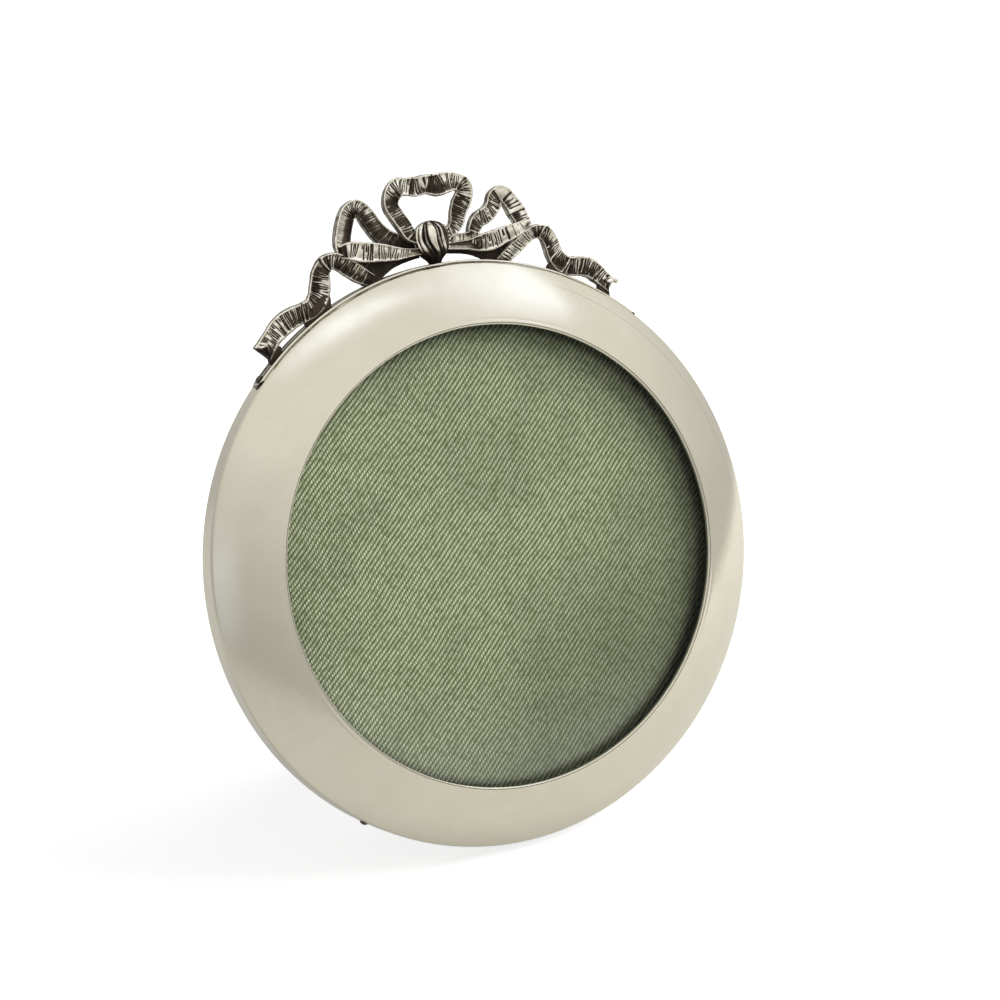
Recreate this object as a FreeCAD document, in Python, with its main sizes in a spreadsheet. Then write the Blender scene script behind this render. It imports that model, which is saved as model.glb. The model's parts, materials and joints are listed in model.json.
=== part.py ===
import FreeCAD, Part
import math
import os
import sys

import Sketcher
from FreeCAD import Placement, Rotation, Vector

# Round silver photo frame with a ribbon-bow crest, standing on an easel strut.
#
# Every piece is drawn in the disc's own frame: x to the right, y up the leaning disc, z out of
# its face, with z = 0 at the rim's back edge. stand() then leans the piece back and sets it on
# the floor. The origin is on the floor, under the middle of the standing frame.

DOC = FreeCAD.newDocument("photo_frame")

# Lengths in millimetres, angles in degrees: name, value, what it sets.
SIZES = (
    ("lean_angle", 21.6, "the disc leans back from upright"),
    ("sight_radius", 48.4, "opening that the picture shows through"),
    ("face_run", 13.6, "from the opening out to the skirt"),
    ("face_depth", 13.5, "front of the lip, from the rim's back edge"),
    ("skirt_depth", 5.3, "straight part of the skirt"),
    ("face_crown", 0.95, "bulge of the face over a straight cone"),
    ("silver_gauge", 0.6, "thickness of the silver sheet"),
    ("lip_depth", 1.1, "lip turned back into the opening"),
    ("shoulder_round", 1.5, "bend from skirt to face"),
    ("lip_round", 0.45, "bend from face to lip"),
    ("seam_gap", 0.05, "between faces that rest on each other"),
    ("wood_gap", 0.25, "between the silver skin and the wood"),
    ("flange_gauge", 2.0, "wood in front of the glass"),
    ("bore_reveal", 0.5, "wood's bore stands back from the silver lip"),
    ("stack_lap", 1.9, "glass and cards reach past the wood's bore"),
    ("stack_play", 0.4, "around the glass and cards"),
    ("glass_gauge", 1.6, "thickness of the glass"),
    ("silk_gauge", 0.35, "thickness of the silk"),
    ("silk_turn_in", 6.0, "silk folded in behind its card"),
    ("card_gauge", 1.5, "thickness of the card under the silk"),
    ("door_step", 2.4, "wooden door reaches past the bore for the cards"),
    ("door_play", 0.3, "around the door"),
    ("door_gauge", 3.4, "thickness of the door"),
    ("pin_upper_angle", 43.5, "upper rim pins, from the top"),
    ("pin_lower_angle", 143.0, "lower rim pins, from the top"),
    ("pin_depth", 2.2, "rim pins, from the rim's back edge"),
    ("pin_head_radius", 1.0, "domed head of a rim pin"),
    ("pin_head_rise", 0.7, "height of that dome"),
    ("pin_shank_radius", 0.4, "shank of a rim pin"),
    ("pin_length", 3.6, "shank under the head"),
    ("band_gauge", 0.45, "thickness of the crest's strap"),
    ("band_start", 0.4, "strap's back edge, from the rim's back edge"),
    ("band_width", 4.2, "width of the strap"),
    ("band_half_angle", 45.5, "strap's reach each way from the top"),
    ("crest_depth", 2.5, "middle plane of the bow, from the rim's back edge"),
    ("crest_relief", 1.2, "how far the ribbons weave out of that plane"),
    ("ribbon_width", 3.4, "width of the bow's ribbon"),
    ("ribbon_gauge", 1.5, "thickness of the cast ribbon"),
    ("web_gauge", 0.9, "thickness of the ribbon ends behind the loops"),
    ("knot_radius", 4.1, "half the width of the knot"),
    ("knot_height", 8.8, "knot, from the strap up"),
    ("knot_half_depth", 3.3, "half the depth of the knot"),
    ("flute_depth", 0.3, "flutes round the knot"),
    ("button_spread", 130.0, "side turn-buttons, from the top one"),
    ("button_arm", 7.0, "turn-button, pivot to the tip over the door"),
    ("button_tail", 2.6, "turn-button, pivot to the other end"),
    ("button_half_width", 2.0, "half the width of a turn-button"),
    ("button_gauge", 0.8, "thickness of a turn-button"),
    ("button_gap", 0.1, "under a turn-button"),
    ("screw_head_radius", 1.5, "round head of a turn-button's screw"),
    ("screw_head_rise", 0.8, "height of that head"),
    ("screw_shank_radius", 0.75, "shank of that screw"),
    ("screw_length", 5.0, "shank under that head"),
    ("running_fit", 0.05, "radial clearance of a turning fit"),
    ("hinge_rise", 20.0, "strut's hinge, above the disc's centre"),
    ("hinge_offset", 1.6, "strut's hinge axis, behind the door"),
    ("leaf_gauge", 0.8, "thickness of a hinge leaf"),
    ("leaf_height", 9.0, "hinge leaf, from the axis down"),
    ("leaf_half_width", 9.0, "half the width of the hinge"),
    ("knuckle_radius", 1.35, "outside of the hinge's knuckles"),
    ("knuckle_half", 3.0, "half the length of the middle knuckle"),
    ("knuckle_gap", 0.12, "between knuckles"),
    ("knuckle_sweep", 1.75, "room cut round the other leaf's knuckles"),
    ("hinge_pin_radius", 0.6, "hinge pin"),
    ("leaf_screw_across", 5.6, "leaf screws, from the middle"),
    ("leaf_screw_drop", 5.4, "leaf screws, below the axis"),
    ("leaf_screw_radius", 0.6, "shank of a leaf screw"),
    ("leaf_screw_head", 1.2, "countersunk head of a leaf screw"),
    ("leaf_screw_length", 2.6, "whole length of a leaf screw"),
    ("strut_gauge", 3.0, "thickness of the strut"),
    ("strut_top_half", 10.5, "half the strut's width at the hinge"),
    ("strut_foot_half", 18.0, "half the strut's width at the foot"),
    ("open_angle", 35.0, "strut opens this far from the door"),
    ("stop_gap", 0.1, "strut's bevelled top to the door when open"),
    ("overrun", 1.0, "cutters run past the surface by this"),
)


class Size:
    """A number together with the expression that binds it to the sheet."""

    def __init__(self, value, text):
        self.value = value
        self.text = text

    def join(self, sign, other, value, swapped=False):
        texts = [self.text, wrap(other).text]
        if swapped:
            texts.reverse()
        return Size(value, "(" + sign.join(texts) + ")")

    def __add__(self, other):
        return self.join(" + ", other, self.value + wrap(other).value)

    def __sub__(self, other):
        return self.join(" - ", other, self.value - wrap(other).value)

    def __rsub__(self, other):
        return self.join(" - ", other, wrap(other).value - self.value, swapped=True)

    def __mul__(self, other):
        return self.join(" * ", other, self.value * wrap(other).value)

    def __truediv__(self, other):
        return self.join(" / ", other, self.value / wrap(other).value)

    def __neg__(self):
        return Size(-self.value, "(-" + self.text + ")")


def wrap(number):
    return number if isinstance(number, Size) else Size(number, repr(number))


def cosine(angle):
    return Size(math.cos(math.radians(angle.value)), "cos(" + angle.text + " * 1 deg)")


def sine(angle):
    return Size(math.sin(math.radians(angle.value)), "sin(" + angle.text + " * 1 deg)")


class SizeSheet:
    """The spreadsheet of driving sizes; each size is then an attribute of this object."""

    def __init__(self):
        sheet = DOC.addObject("Spreadsheet::Sheet", "Sizes")
        for row, (name, value, note) in enumerate(SIZES, 1):
            sheet.set("A%d" % row, name)
            sheet.set("B%d" % row, str(value))
            sheet.setAlias("B%d" % row, name)
            sheet.set("C%d" % row, note)
        DOC.recompute()
        for name, value, note in SIZES:
            setattr(self, name, Size(float(getattr(sheet, name)), "Sizes." + name))


size = SizeSheet()
ZERO = wrap(0)

# Places along the disc's z axis, from the lip back to the door.
lip_back = size.face_depth - size.lip_depth
flange_front = lip_back - size.seam_gap
flange_back = flange_front - size.flange_gauge
glass_front = flange_back - size.seam_gap
glass_back = glass_front - size.glass_gauge
silk_front = glass_back - size.seam_gap
card_front = silk_front - size.silk_gauge
card_back = card_front - size.card_gauge
silk_back = card_back - size.silk_gauge
packing_front = silk_back - size.seam_gap
door_front = size.door_gauge
packing_back = door_front + size.seam_gap

# Radii that follow from the driving ones.
rim_radius = size.sight_radius + size.face_run
ring_radius = rim_radius - size.silver_gauge - size.wood_gap
bore_radius = size.sight_radius + size.bore_reveal
stack_radius = bore_radius + size.stack_lap
stack_rebate = stack_radius + size.stack_play
door_radius = stack_rebate + size.door_step
door_rebate = door_radius + size.door_play
band_inside = rim_radius + size.seam_gap
band_outside = band_inside + size.band_gauge
button_pivot = (door_rebate + ring_radius) / 2

# The open strut: its angle from upright, and the length from the hinge axis to the floor of a
# line that runs the given distance behind the axis.
strut_angle = size.open_angle - size.lean_angle
centre_height = rim_radius * cosine(size.lean_angle)
hinge_height = (centre_height + size.hinge_rise * cosine(size.lean_angle)
                - size.hinge_offset * sine(size.lean_angle))
hinge_back = (size.hinge_rise * sine(size.lean_angle)
              + size.hinge_offset * cosine(size.lean_angle))
strut_inner = size.hinge_offset
strut_outer = strut_inner + size.strut_gauge


def strut_reach(behind):
    return (hinge_height + behind * sine(strut_angle)) / cosine(strut_angle)


def bevel_reach(behind):
    """Where the strut's bevelled top meets a line the given distance behind the hinge axis."""
    room = size.hinge_offset - size.stop_gap
    return (room + behind * cosine(size.open_angle)) / sine(size.open_angle)


back_most = (hinge_back + strut_outer * cosine(strut_angle)
             + strut_reach(strut_outer) * sine(strut_angle))
front_most = (size.sight_radius * sine(size.lean_angle)
              + size.face_depth * cosine(size.lean_angle))

STAND = Placement(
    Vector(0, (front_most.value - back_most.value) / 2, centre_height.value),
    Rotation(Vector(1, 0, 0), 90 - size.lean_angle.value),
)
HINGE = Placement(Vector(0, size.hinge_rise.value, -size.hinge_offset.value), Rotation())
OPEN = Placement(Vector(), Rotation(Vector(1, 0, 0), size.open_angle.value))

pieces = []
SAME = 1e-6


def stand(piece, place=Placement()):
    """Lean the finished piece back with the disc and count it as a node."""
    piece.Placement = STAND.multiply(place).multiply(piece.Placement)
    pieces.append(piece)
    return piece


# Sketches and bodies


def new_body(label):
    body = DOC.addObject("PartDesign::Body", label)
    body.Label = label
    return body


def new_sketch(body, plane, name):
    sketch = body.newObject("Sketcher::SketchObject", name)
    flat = [f for f in body.Origin.OriginFeatures if f.Role == plane][0]
    sketch.AttachmentSupport = [(flat, "")]
    sketch.MapMode = "FlatFace"
    return sketch


def hold(sketch, edge, end, spot):
    """Tie one end of an edge to its place from the sketch's origin, bound to the sheet."""
    axes = (("DistanceX", spot[0], -2), ("DistanceY", spot[1], -1))
    for kind, place, axis in axes:
        if place.value == 0:
            sketch.addConstraint(Sketcher.Constraint("PointOnObject", edge, end, axis))
            continue
        rule = Sketcher.Constraint(kind, -1, 1, edge, end, place.value)
        index = sketch.addConstraint(rule)
        sketch.setExpression("Constraints[%d]" % index, place.text)


def point_of(spot):
    return Vector(spot[0].value, spot[1].value, 0)


def outline(sketch, corners):
    """Closed outline. A corner is (x, y); with a third entry, the side after it is an arc
    through that place."""
    ends = []
    for n, corner in enumerate(corners):
        here = point_of(corner)
        after = point_of(corners[(n + 1) % len(corners)])
        if len(corner) == 2:
            ends.append((sketch.addGeometry(Part.LineSegment(here, after), False), 1, 2))
            continue
        crown = point_of(corner[2])
        forward = (crown - here).cross(after - crown).z > 0
        arc = Part.Arc(here, crown, after) if forward else Part.Arc(after, crown, here)
        edge = sketch.addGeometry(arc, False)
        ends.append((edge, 1, 2) if forward else (edge, 2, 1))
        via = sketch.addGeometry(Part.Point(crown), True)
        sketch.addConstraint(Sketcher.Constraint("PointOnObject", via, 1, edge))
        hold(sketch, via, 1, corner[2])
    for n, (edge, start, end) in enumerate(ends):
        following = ends[(n + 1) % len(ends)]
        joint = Sketcher.Constraint("Coincident", edge, end, following[0], following[1])
        sketch.addConstraint(joint)
        hold(sketch, edge, start, corners[n])


def turned(label, corners, half_angle=None):
    """Body turned round the disc's axis from an outline of (radius, height) corners. With a
    half angle it is an arc of that reach each way from the top."""
    body = new_body(label)
    sketch = new_sketch(body, "XZ_Plane", label + "_section")
    outline(sketch, corners)
    turn = body.newObject("PartDesign::Revolution", label + "_turn")
    turn.Profile = sketch
    turn.ReferenceAxis = (sketch, ["V_Axis"])
    turn.Angle = 360
    if half_angle is not None:
        turn.Midplane = True
        turn.setExpression("Angle", (half_angle * 2).text)
        body.Placement = Placement(Vector(), Rotation(Vector(0, 0, 1), 90))
    sketch.Visibility = False
    return body


def slab(label, plane, corners, gauge, symmetric=False):
    """Body padded by a bound thickness from an outline on one of its own planes."""
    body = new_body(label)
    sketch = new_sketch(body, plane, label + "_outline")
    outline(sketch, corners)
    pad = body.newObject("PartDesign::Pad", label + "_pad")
    pad.Profile = sketch
    if symmetric:
        pad.SideType = "Symmetric"
    pad.setExpression("Length", gauge.text)
    return body


def pocket(body, plane, corners, name):
    """Cut an outline right through a body, both ways from the plane."""
    sketch = new_sketch(body, plane, name + "_outline")
    outline(sketch, corners)
    before = body.Tip
    cut = body.newObject("PartDesign::Pocket", name)
    cut.Profile = sketch
    cut.SideType = "Symmetric"
    cut.Type = "ThroughAll"
    DOC.recompute()
    if not cut.Shape.Volume < before.Shape.Volume:
        sys.exit(name + " cuts nothing")


# Rods and drilled holes


def rod(name, radius, length, place):
    tool = DOC.addObject("Part::Cylinder", name)
    tool.setExpression("Radius", radius.text)
    tool.setExpression("Height", length.text)
    tool.Placement = place
    return tool


def cone(name, wide, narrow, length, place):
    tool = DOC.addObject("Part::Cone", name)
    tool.setExpression("Radius1", wide.text)
    tool.setExpression("Radius2", narrow.text)
    tool.setExpression("Height", length.text)
    tool.Placement = place
    return tool


def drilled(label, body, tools):
    """The body less its holes, under the piece's own name."""
    body.Label = label + "_blank"
    gang = DOC.addObject("Part::Compound", label + "_drills")
    gang.Links = tools
    cut = DOC.addObject("Part::Cut", label + "_drilled")
    cut.Base = body
    cut.Tool = gang
    cut.Label = label
    DOC.recompute()
    if not cut.Shape.Volume < body.Shape.Volume:
        sys.exit(label + " has holes that cut nothing")
    return cut


def fused(label, parts):
    joined = DOC.addObject("Part::MultiFuse", label + "_joined")
    joined.Shapes = parts
    joined.Refine = True
    joined.Label = label
    return joined


def feature(label, shape):
    """Piece whose shape is made directly from the sheet's values."""
    made = DOC.addObject("Part::Feature", label)
    made.Label = label
    made.Shape = shape
    return made


def radial(angle, radius, height):
    """Place on the rim at an angle from the top, with z pointing out of the disc's edge."""
    turn = math.radians(angle)
    out = Vector(math.sin(turn), math.cos(turn), 0)
    spot = out * radius + Vector(0, 0, height)
    return Placement(spot, Rotation(Vector(0, 0, 1), out))


# Silver ring: spun face, lip and skirt in one sheet


def face_line(inset):
    """Ends and crown of the face, moved in by a thickness: skirt end, crown, lip end."""
    rise = size.face_depth - size.skirt_depth
    run = rim_radius - size.sight_radius
    slope = Size(math.hypot(rise.value, run.value),
                 "sqrt(" + rise.text + " ^ 2 + " + run.text + " ^ 2)")
    skirt_end = (rim_radius - inset,
                 size.skirt_depth - inset * slope / run + inset * rise / run)
    lip_end = (size.sight_radius + inset, size.face_depth - inset * slope / run
               - inset * rise / run)
    crown = ((skirt_end[0] + lip_end[0]) / 2 + size.face_crown * rise / slope,
             (skirt_end[1] + lip_end[1]) / 2 + size.face_crown * run / slope)
    return skirt_end, crown, lip_end


PIN_ANGLES = (
    size.pin_upper_angle.value,
    -size.pin_upper_angle.value,
    size.pin_lower_angle.value,
    -size.pin_lower_angle.value,
)
UPPER_PINS = PIN_ANGLES[:2]


def pin_holes(label, angles, start, length, radius):
    """Radial drills for the rim pins, from a start radius outwards."""
    return [
        rod("%s_pin_hole_%d" % (label, n), radius, length,
            radial(angle, start.value, size.pin_depth.value))
        for n, angle in enumerate(angles, 1)
    ]


def make_bezel():
    outside = face_line(ZERO)
    inside = face_line(size.silver_gauge)
    body = turned("silver_bezel", [
        (rim_radius, ZERO),
        (outside[0][0], outside[0][1], outside[1]),
        (outside[2][0], outside[2][1]),
        (size.sight_radius, lip_back),
        (inside[2][0], lip_back),
        (inside[2][0], inside[2][1], inside[1]),
        (inside[0][0], inside[0][1]),
        (inside[0][0], ZERO),
    ])
    DOC.recompute()
    soften(body, "silver_bezel_shoulder", rim_radius, size.skirt_depth,
           size.shoulder_round)
    soften(body, "silver_bezel_lip", size.sight_radius, size.face_depth, size.lip_round)
    tools = pin_holes("silver_bezel", PIN_ANGLES, ring_radius, size.silver_gauge * 2,
                      size.pin_shank_radius + size.running_fit)
    return stand(drilled("silver_bezel", body, tools))


def soften(body, name, radius, height, bend):
    """Round the body's circular edge of the given radius and height."""
    base = body.Tip
    names = ["Edge%d" % n for n, edge in enumerate(base.Shape.Edges, 1)
             if is_ring(edge, radius.value, height.value)]
    fillet = body.newObject("PartDesign::Fillet", name)
    fillet.Base = (base, names)
    fillet.setExpression("Radius", bend.text)
    DOC.recompute()
    if not fillet.Shape.Volume < base.Shape.Volume:
        sys.exit(name + " rounds nothing")


def is_ring(edge, radius, height):
    """Whether an edge is a circle of this radius, level with the disc, at this height."""
    curve = edge.Curve
    return (isinstance(curve, Part.Circle)
            and math.isclose(curve.Radius, radius, rel_tol=SAME)
            and math.isclose(curve.Center.z, height, rel_tol=SAME))


# Wooden ring, stack of glass and cards, door


def make_back_ring():
    shoulder = size.sight_radius + size.silver_gauge + size.wood_gap
    corner = size.skirt_depth - size.silver_gauge
    body = turned("back_ring", [
        (ring_radius, ZERO),
        (ring_radius, corner),
        (shoulder, flange_front),
        (bore_radius, flange_front),
        (bore_radius, flange_back),
        (stack_rebate, flange_back),
        (stack_rebate, packing_back),
        (door_rebate, packing_back),
        (door_rebate, ZERO),
    ])
    grip = size.pin_length
    tools = pin_holes("back_ring", PIN_ANGLES, rim_radius - grip, grip,
                      size.pin_shank_radius + size.running_fit)
    for n, place in enumerate(button_places(), 1):
        seat = place.multiply(Placement(Vector(0, 0, -size.overrun.value), Rotation()))
        tools.append(rod("back_ring_screw_hole_%d" % n,
                         size.screw_shank_radius + size.running_fit,
                         size.screw_length + size.overrun, seat))
    return stand(drilled("back_ring", body, tools))


def disc(label, radius, back, front):
    return stand(turned(label, [(ZERO, back), (radius, back), (radius, front), (ZERO, front)]))


def make_stack():
    disc("glass", stack_radius, glass_back, glass_front)
    card_radius = stack_radius - size.silk_gauge - size.seam_gap
    disc("mount_card", card_radius, card_back, card_front)
    wall = card_radius + size.seam_gap
    stand(turned("silk_cover", [
        (ZERO, card_front + size.seam_gap / 2),
        (wall, card_front + size.seam_gap / 2),
        (wall, card_back - size.seam_gap / 2),
        (stack_radius - size.silk_turn_in, card_back - size.seam_gap / 2),
        (stack_radius - size.silk_turn_in, silk_back),
        (stack_radius, silk_back),
        (stack_radius, silk_front),
        (ZERO, silk_front),
    ]))
    disc("packing_card", stack_radius, packing_back, packing_front)


def leaf_screw_spots():
    """Leaf screws in the hinge's frame, on the side away from the axis."""
    across = size.leaf_screw_across.value
    return [Vector(side * across, -size.leaf_screw_drop.value, 0) for side in (-1, 1)]


def leaf_screw_holes(label, face, along):
    """Countersunk holes from a leaf's free face (height in the hinge's frame) inwards."""
    tools = []
    turn = Rotation(Vector(0, 0, 1), Vector(0, 0, along))
    sink = size.leaf_screw_head - size.leaf_screw_radius
    for n, spot in enumerate(leaf_screw_spots(), 1):
        place = Placement(spot + Vector(0, 0, face.value), turn)
        tools.append(rod("%s_shank_hole_%d" % (label, n), size.leaf_screw_radius,
                         size.leaf_screw_length, place))
        tools.append(cone("%s_sink_%d" % (label, n), size.leaf_screw_head,
                          size.leaf_screw_radius, sink, place))
    return tools


def in_hinge(tools, place=Placement()):
    for tool in tools:
        tool.Placement = HINGE.multiply(place).multiply(tool.Placement)
    return tools


def make_door():
    body = turned("back_door", [
        (ZERO, ZERO),
        (door_radius, ZERO),
        (door_radius, door_front),
        (ZERO, door_front),
    ])
    face = size.hinge_offset - size.leaf_gauge
    tools = in_hinge(leaf_screw_holes("back_door", face, 1))
    return stand(drilled("back_door", body, tools))


# Brass turn-buttons


def button_places():
    """Pivots on the back of the ring, with y pointing at the disc's centre."""
    spots = []
    for angle in (0, size.button_spread.value, -size.button_spread.value):
        turn = Rotation(Vector(0, 0, 1), -angle)
        spot = turn.multVec(Vector(0, button_pivot.value, 0))
        spots.append(Placement(spot, turn.multiply(Rotation(Vector(0, 0, 1), 180))))
    return spots


def make_turn_buttons():
    half = size.button_half_width
    straight_arm = size.button_arm - half
    straight_tail = size.button_tail - half
    for name, place in zip(("top", "right", "left"), button_places()):
        label = "turn_button_" + name
        body = slab(label, "XY_Plane", [
            (half, -straight_tail),
            (half, straight_arm, (ZERO, size.button_arm)),
            (-half, straight_arm),
            (-half, -straight_tail, (ZERO, -size.button_tail)),
        ], size.button_gauge)
        hole = rod(label + "_hole", size.screw_shank_radius + size.running_fit,
                   size.button_gauge + size.overrun * 2,
                   Placement(Vector(0, 0, -size.overrun.value), Rotation()))
        drop = Vector(0, 0, -size.button_gap.value - size.button_gauge.value)
        piece = drilled(label, body, [hole])
        stand(piece, place.multiply(Placement(drop, Rotation())))
    under = size.button_gap.value * 2 + size.button_gauge.value
    down = Placement(Vector(0, 0, -under), Rotation(Vector(1, 0, 0), 180))
    screw = domed(size.screw_head_radius, size.screw_head_rise,
                  size.screw_shank_radius, size.screw_length)
    copies = [screw.transformed(place.multiply(down).toMatrix()) for place in button_places()]
    stand(feature("turn_button_screws", Part.makeCompound(copies)))


def domed(head_radius, rise, shank_radius, length):
    """Nail or screw with a domed head above z = 0 and its shank below."""
    ball = (head_radius.value ** 2 + rise.value ** 2) / (2 * rise.value)
    low = math.degrees(math.asin((ball - rise.value) / ball))
    centre = Vector(0, 0, rise.value - ball)
    head = Part.makeSphere(ball, centre, Vector(0, 0, 1), low, 90, 360)
    shank = Part.makeCylinder(shank_radius.value, length.value, Vector(), Vector(0, 0, -1))
    return head.fuse(shank).removeSplitter()


def make_rim_pins():
    pin = domed(size.pin_head_radius, size.pin_head_rise, size.pin_shank_radius,
                size.pin_length - size.silver_gauge)
    copies = []
    for angle in PIN_ANGLES:
        seat = band_outside if angle in UPPER_PINS else rim_radius
        place = radial(angle, seat.value + size.seam_gap.value, size.pin_depth.value)
        copies.append(pin.transformed(place.toMatrix()))
    stand(feature("rim_pins", Part.makeCompound(copies)))


# Strut and its hinge, drawn closed against the door, with the axis at the origin


def leaf_plate(label, low):
    """Flat of a leaf, from the axis down, with its back at a height from the axis."""
    wide = size.leaf_half_width
    plate = slab(label, "XY_Plane", [
        (wide, ZERO),
        (-wide, ZERO),
        (-wide, -size.leaf_height),
        (wide, -size.leaf_height),
    ], size.leaf_gauge)
    plate.Placement = Placement(Vector(0, 0, low.value), Rotation())
    return plate


def along_axis(start):
    return Placement(Vector(start, 0, 0), Rotation(Vector(0, 0, 1), Vector(1, 0, 0)))


def barrel(name, radius, start, end):
    return rod(name, radius, end - start, along_axis(start.value))


def make_hinge():
    wide = size.leaf_half_width
    inner = size.knuckle_half
    outer = inner + size.knuckle_gap
    reach = size.knuckle_sweep
    bore = size.hinge_pin_radius + size.running_fit

    plate = leaf_plate("hinge_plate_flat", size.hinge_offset - size.leaf_gauge)
    rolls = [barrel("hinge_plate_roll_left", size.knuckle_radius, -wide, -outer),
             barrel("hinge_plate_roll_right", size.knuckle_radius, outer, wide)]
    window = barrel("hinge_plate_window", reach, -outer, outer)
    tools = [window, barrel("hinge_plate_bore", bore, -wide - size.overrun,
                            wide + size.overrun)]
    tools += leaf_screw_holes("hinge_plate", size.hinge_offset - size.leaf_gauge, 1)
    plate = drilled("strut_hinge_plate", fused("hinge_plate_rough", [plate] + rolls), tools)
    stand(plate, HINGE)

    leaf = leaf_plate("hinge_leaf_flat", -size.hinge_offset)
    roll = barrel("hinge_leaf_roll", size.knuckle_radius, -inner, inner)
    tools = [barrel("hinge_leaf_window_left", reach, -wide - size.overrun, -inner),
             barrel("hinge_leaf_window_right", reach, inner, wide + size.overrun),
             barrel("hinge_leaf_bore", bore, -wide - size.overrun, wide + size.overrun)]
    tools += leaf_screw_holes("hinge_leaf", size.leaf_gauge - size.hinge_offset, -1)
    leaf = drilled("strut_hinge_leaf", fused("hinge_leaf_rough", [leaf, roll]), tools)
    stand(leaf, HINGE.multiply(OPEN))

    pin = barrel("strut_hinge_pin", size.hinge_pin_radius, -wide, wide)
    stand(pin, HINGE)


def make_leaf_screws():
    """Countersunk screws, their flat heads flush with the free face of each leaf."""
    sink = size.leaf_screw_head.value - size.leaf_screw_radius.value
    for label, face, along, place in (
        ("hinge_screws_door", size.hinge_offset - size.leaf_gauge, 1, Placement()),
        ("hinge_screws_strut", size.leaf_gauge - size.hinge_offset, -1, OPEN),
    ):
        copies = []
        for spot in leaf_screw_spots():
            start = spot + Vector(0, 0, face.value)
            way = Vector(0, 0, along)
            head = Part.makeCone(size.leaf_screw_head.value, size.leaf_screw_radius.value,
                                 sink, start, way)
            shank = Part.makeCylinder(size.leaf_screw_radius.value,
                                      size.leaf_screw_length.value, start, way)
            copies.append(head.fuse(shank).removeSplitter())
        screws = feature(label, Part.makeCompound(copies))
        stand(screws, HINGE.multiply(place))


def make_strut():
    """Tapered board: foot cut to the floor, top bevelled to stop on the door."""
    body = slab("easel_strut", "YZ_Plane", [
        (-strut_reach(strut_inner), -strut_inner),
        (-strut_reach(strut_outer), -strut_outer),
        (bevel_reach(strut_outer), -strut_outer),
        (bevel_reach(strut_inner), -strut_inner),
    ], size.strut_foot_half * 2, symmetric=True)
    top = bevel_reach(strut_outer)
    foot = -strut_reach(strut_outer)
    for side, sign in (("right", 1), ("left", -1)):
        wide = size.strut_foot_half * sign
        past = (size.strut_foot_half + size.overrun) * sign
        pocket(body, "XY_Plane", [
            (wide, foot),
            (size.strut_top_half * sign, ZERO),
            (size.strut_top_half * sign, top + size.overrun),
            (past, top + size.overrun),
            (past, foot),
        ], "easel_strut_taper_" + side)
    tools = leaf_screw_holes("easel_strut", size.leaf_gauge - size.hinge_offset, -1)
    strut = drilled("easel_strut", body, tools)
    stand(strut, HINGE.multiply(OPEN))


# Crest: strap, knot, loops, webs and tails of silver ribbon

# Stations along each ribbon: across and up as shares of the rim radius, depth as a share of
# the relief, width as a share of the ribbon's width, and the angle that the ribbon turns
# about its own run.
LOOP_TOP_SHARES = (
    (-0.038, 1.092, 0.4, 0.60, 0),
    (-0.076, 1.116, 0.2, 0.85, 8),
    (-0.090, 1.150, -0.2, 1.00, 12),
    (-0.112, 1.188, -0.2, 1.05, 12),
    (-0.127, 1.224, 0.0, 1.05, 8),
    (-0.120, 1.260, 0.4, 1.05, 0),
    (-0.092, 1.284, 0.6, 1.15, -8),
    (-0.058, 1.284, 0.3, 1.05, 0),
    (-0.025, 1.281, 0.0, 1.00, 6),
    (0.010, 1.284, 0.2, 1.00, 6),
    (0.046, 1.278, 0.5, 1.05, -6),
    (0.085, 1.277, 0.4, 1.05, -8),
    (0.122, 1.276, 0.2, 0.95, 0),
    (0.150, 1.257, 0.0, 0.95, 8),
    (0.150, 1.226, -0.2, 1.05, 10),
    (0.133, 1.194, -0.3, 1.10, 10),
    (0.113, 1.164, -0.2, 1.00, 8),
    (0.100, 1.136, 0.0, 0.95, 0),
    (0.082, 1.113, 0.2, 0.75, 0),
    (0.038, 1.092, 0.4, 0.60, 0),
)
LOOP_LEFT_UPPER_SHARES = (
    (-0.045, 1.086, -1.2, 0.60, 0),
    (-0.100, 1.098, -1.2, 0.75, 0),
    (-0.148, 1.120, -1.0, 0.95, 6),
    (-0.185, 1.151, -0.7, 1.10, 10),
    (-0.212, 1.187, -0.4, 1.10, 10),
    (-0.232, 1.220, 0.0, 1.00, 4),
    (-0.259, 1.238, 0.2, 0.92, 0),
    (-0.287, 1.223, 0.2, 1.00, -8),
    (-0.304, 1.190, 0.0, 1.12, -12),
    (-0.317, 1.156, 0.0, 1.15, -12),
    (-0.327, 1.122, 0.2, 1.10, -6),
    (-0.330, 1.096, 0.5, 0.90, 0),
)
LOOP_LEFT_LOWER_SHARES = (
    (-0.345, 1.098, 0.7, 0.70, 0),
    (-0.308, 1.100, 1.0, 0.95, 0),
    (-0.260, 1.089, 1.1, 1.00, 0),
    (-0.202, 1.077, 1.0, 0.95, 0),
    (-0.145, 1.063, 0.8, 0.62, 0),
    (-0.095, 1.056, 0.6, 0.40, 0),
    (-0.050, 1.052, 0.4, 0.35, 0),
)
LOOP_RIGHT_UPPER_SHARES = (
    (0.045, 1.086, -1.2, 0.60, 0),
    (0.095, 1.090, -1.2, 0.60, 0),
    (0.136, 1.096, -0.8, 0.70, 0),
    (0.166, 1.115, 0.0, 1.00, 6),
    (0.203, 1.142, 0.2, 1.05, 8),
    (0.236, 1.173, 0.2, 1.10, 8),
    (0.264, 1.197, 0.2, 1.10, 0),
    (0.295, 1.192, 0.0, 0.90, 0),
    (0.311, 1.160, -0.2, 1.00, -8),
    (0.325, 1.125, -0.2, 1.10, -10),
    (0.338, 1.094, 0.2, 1.00, 0),
)
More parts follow.
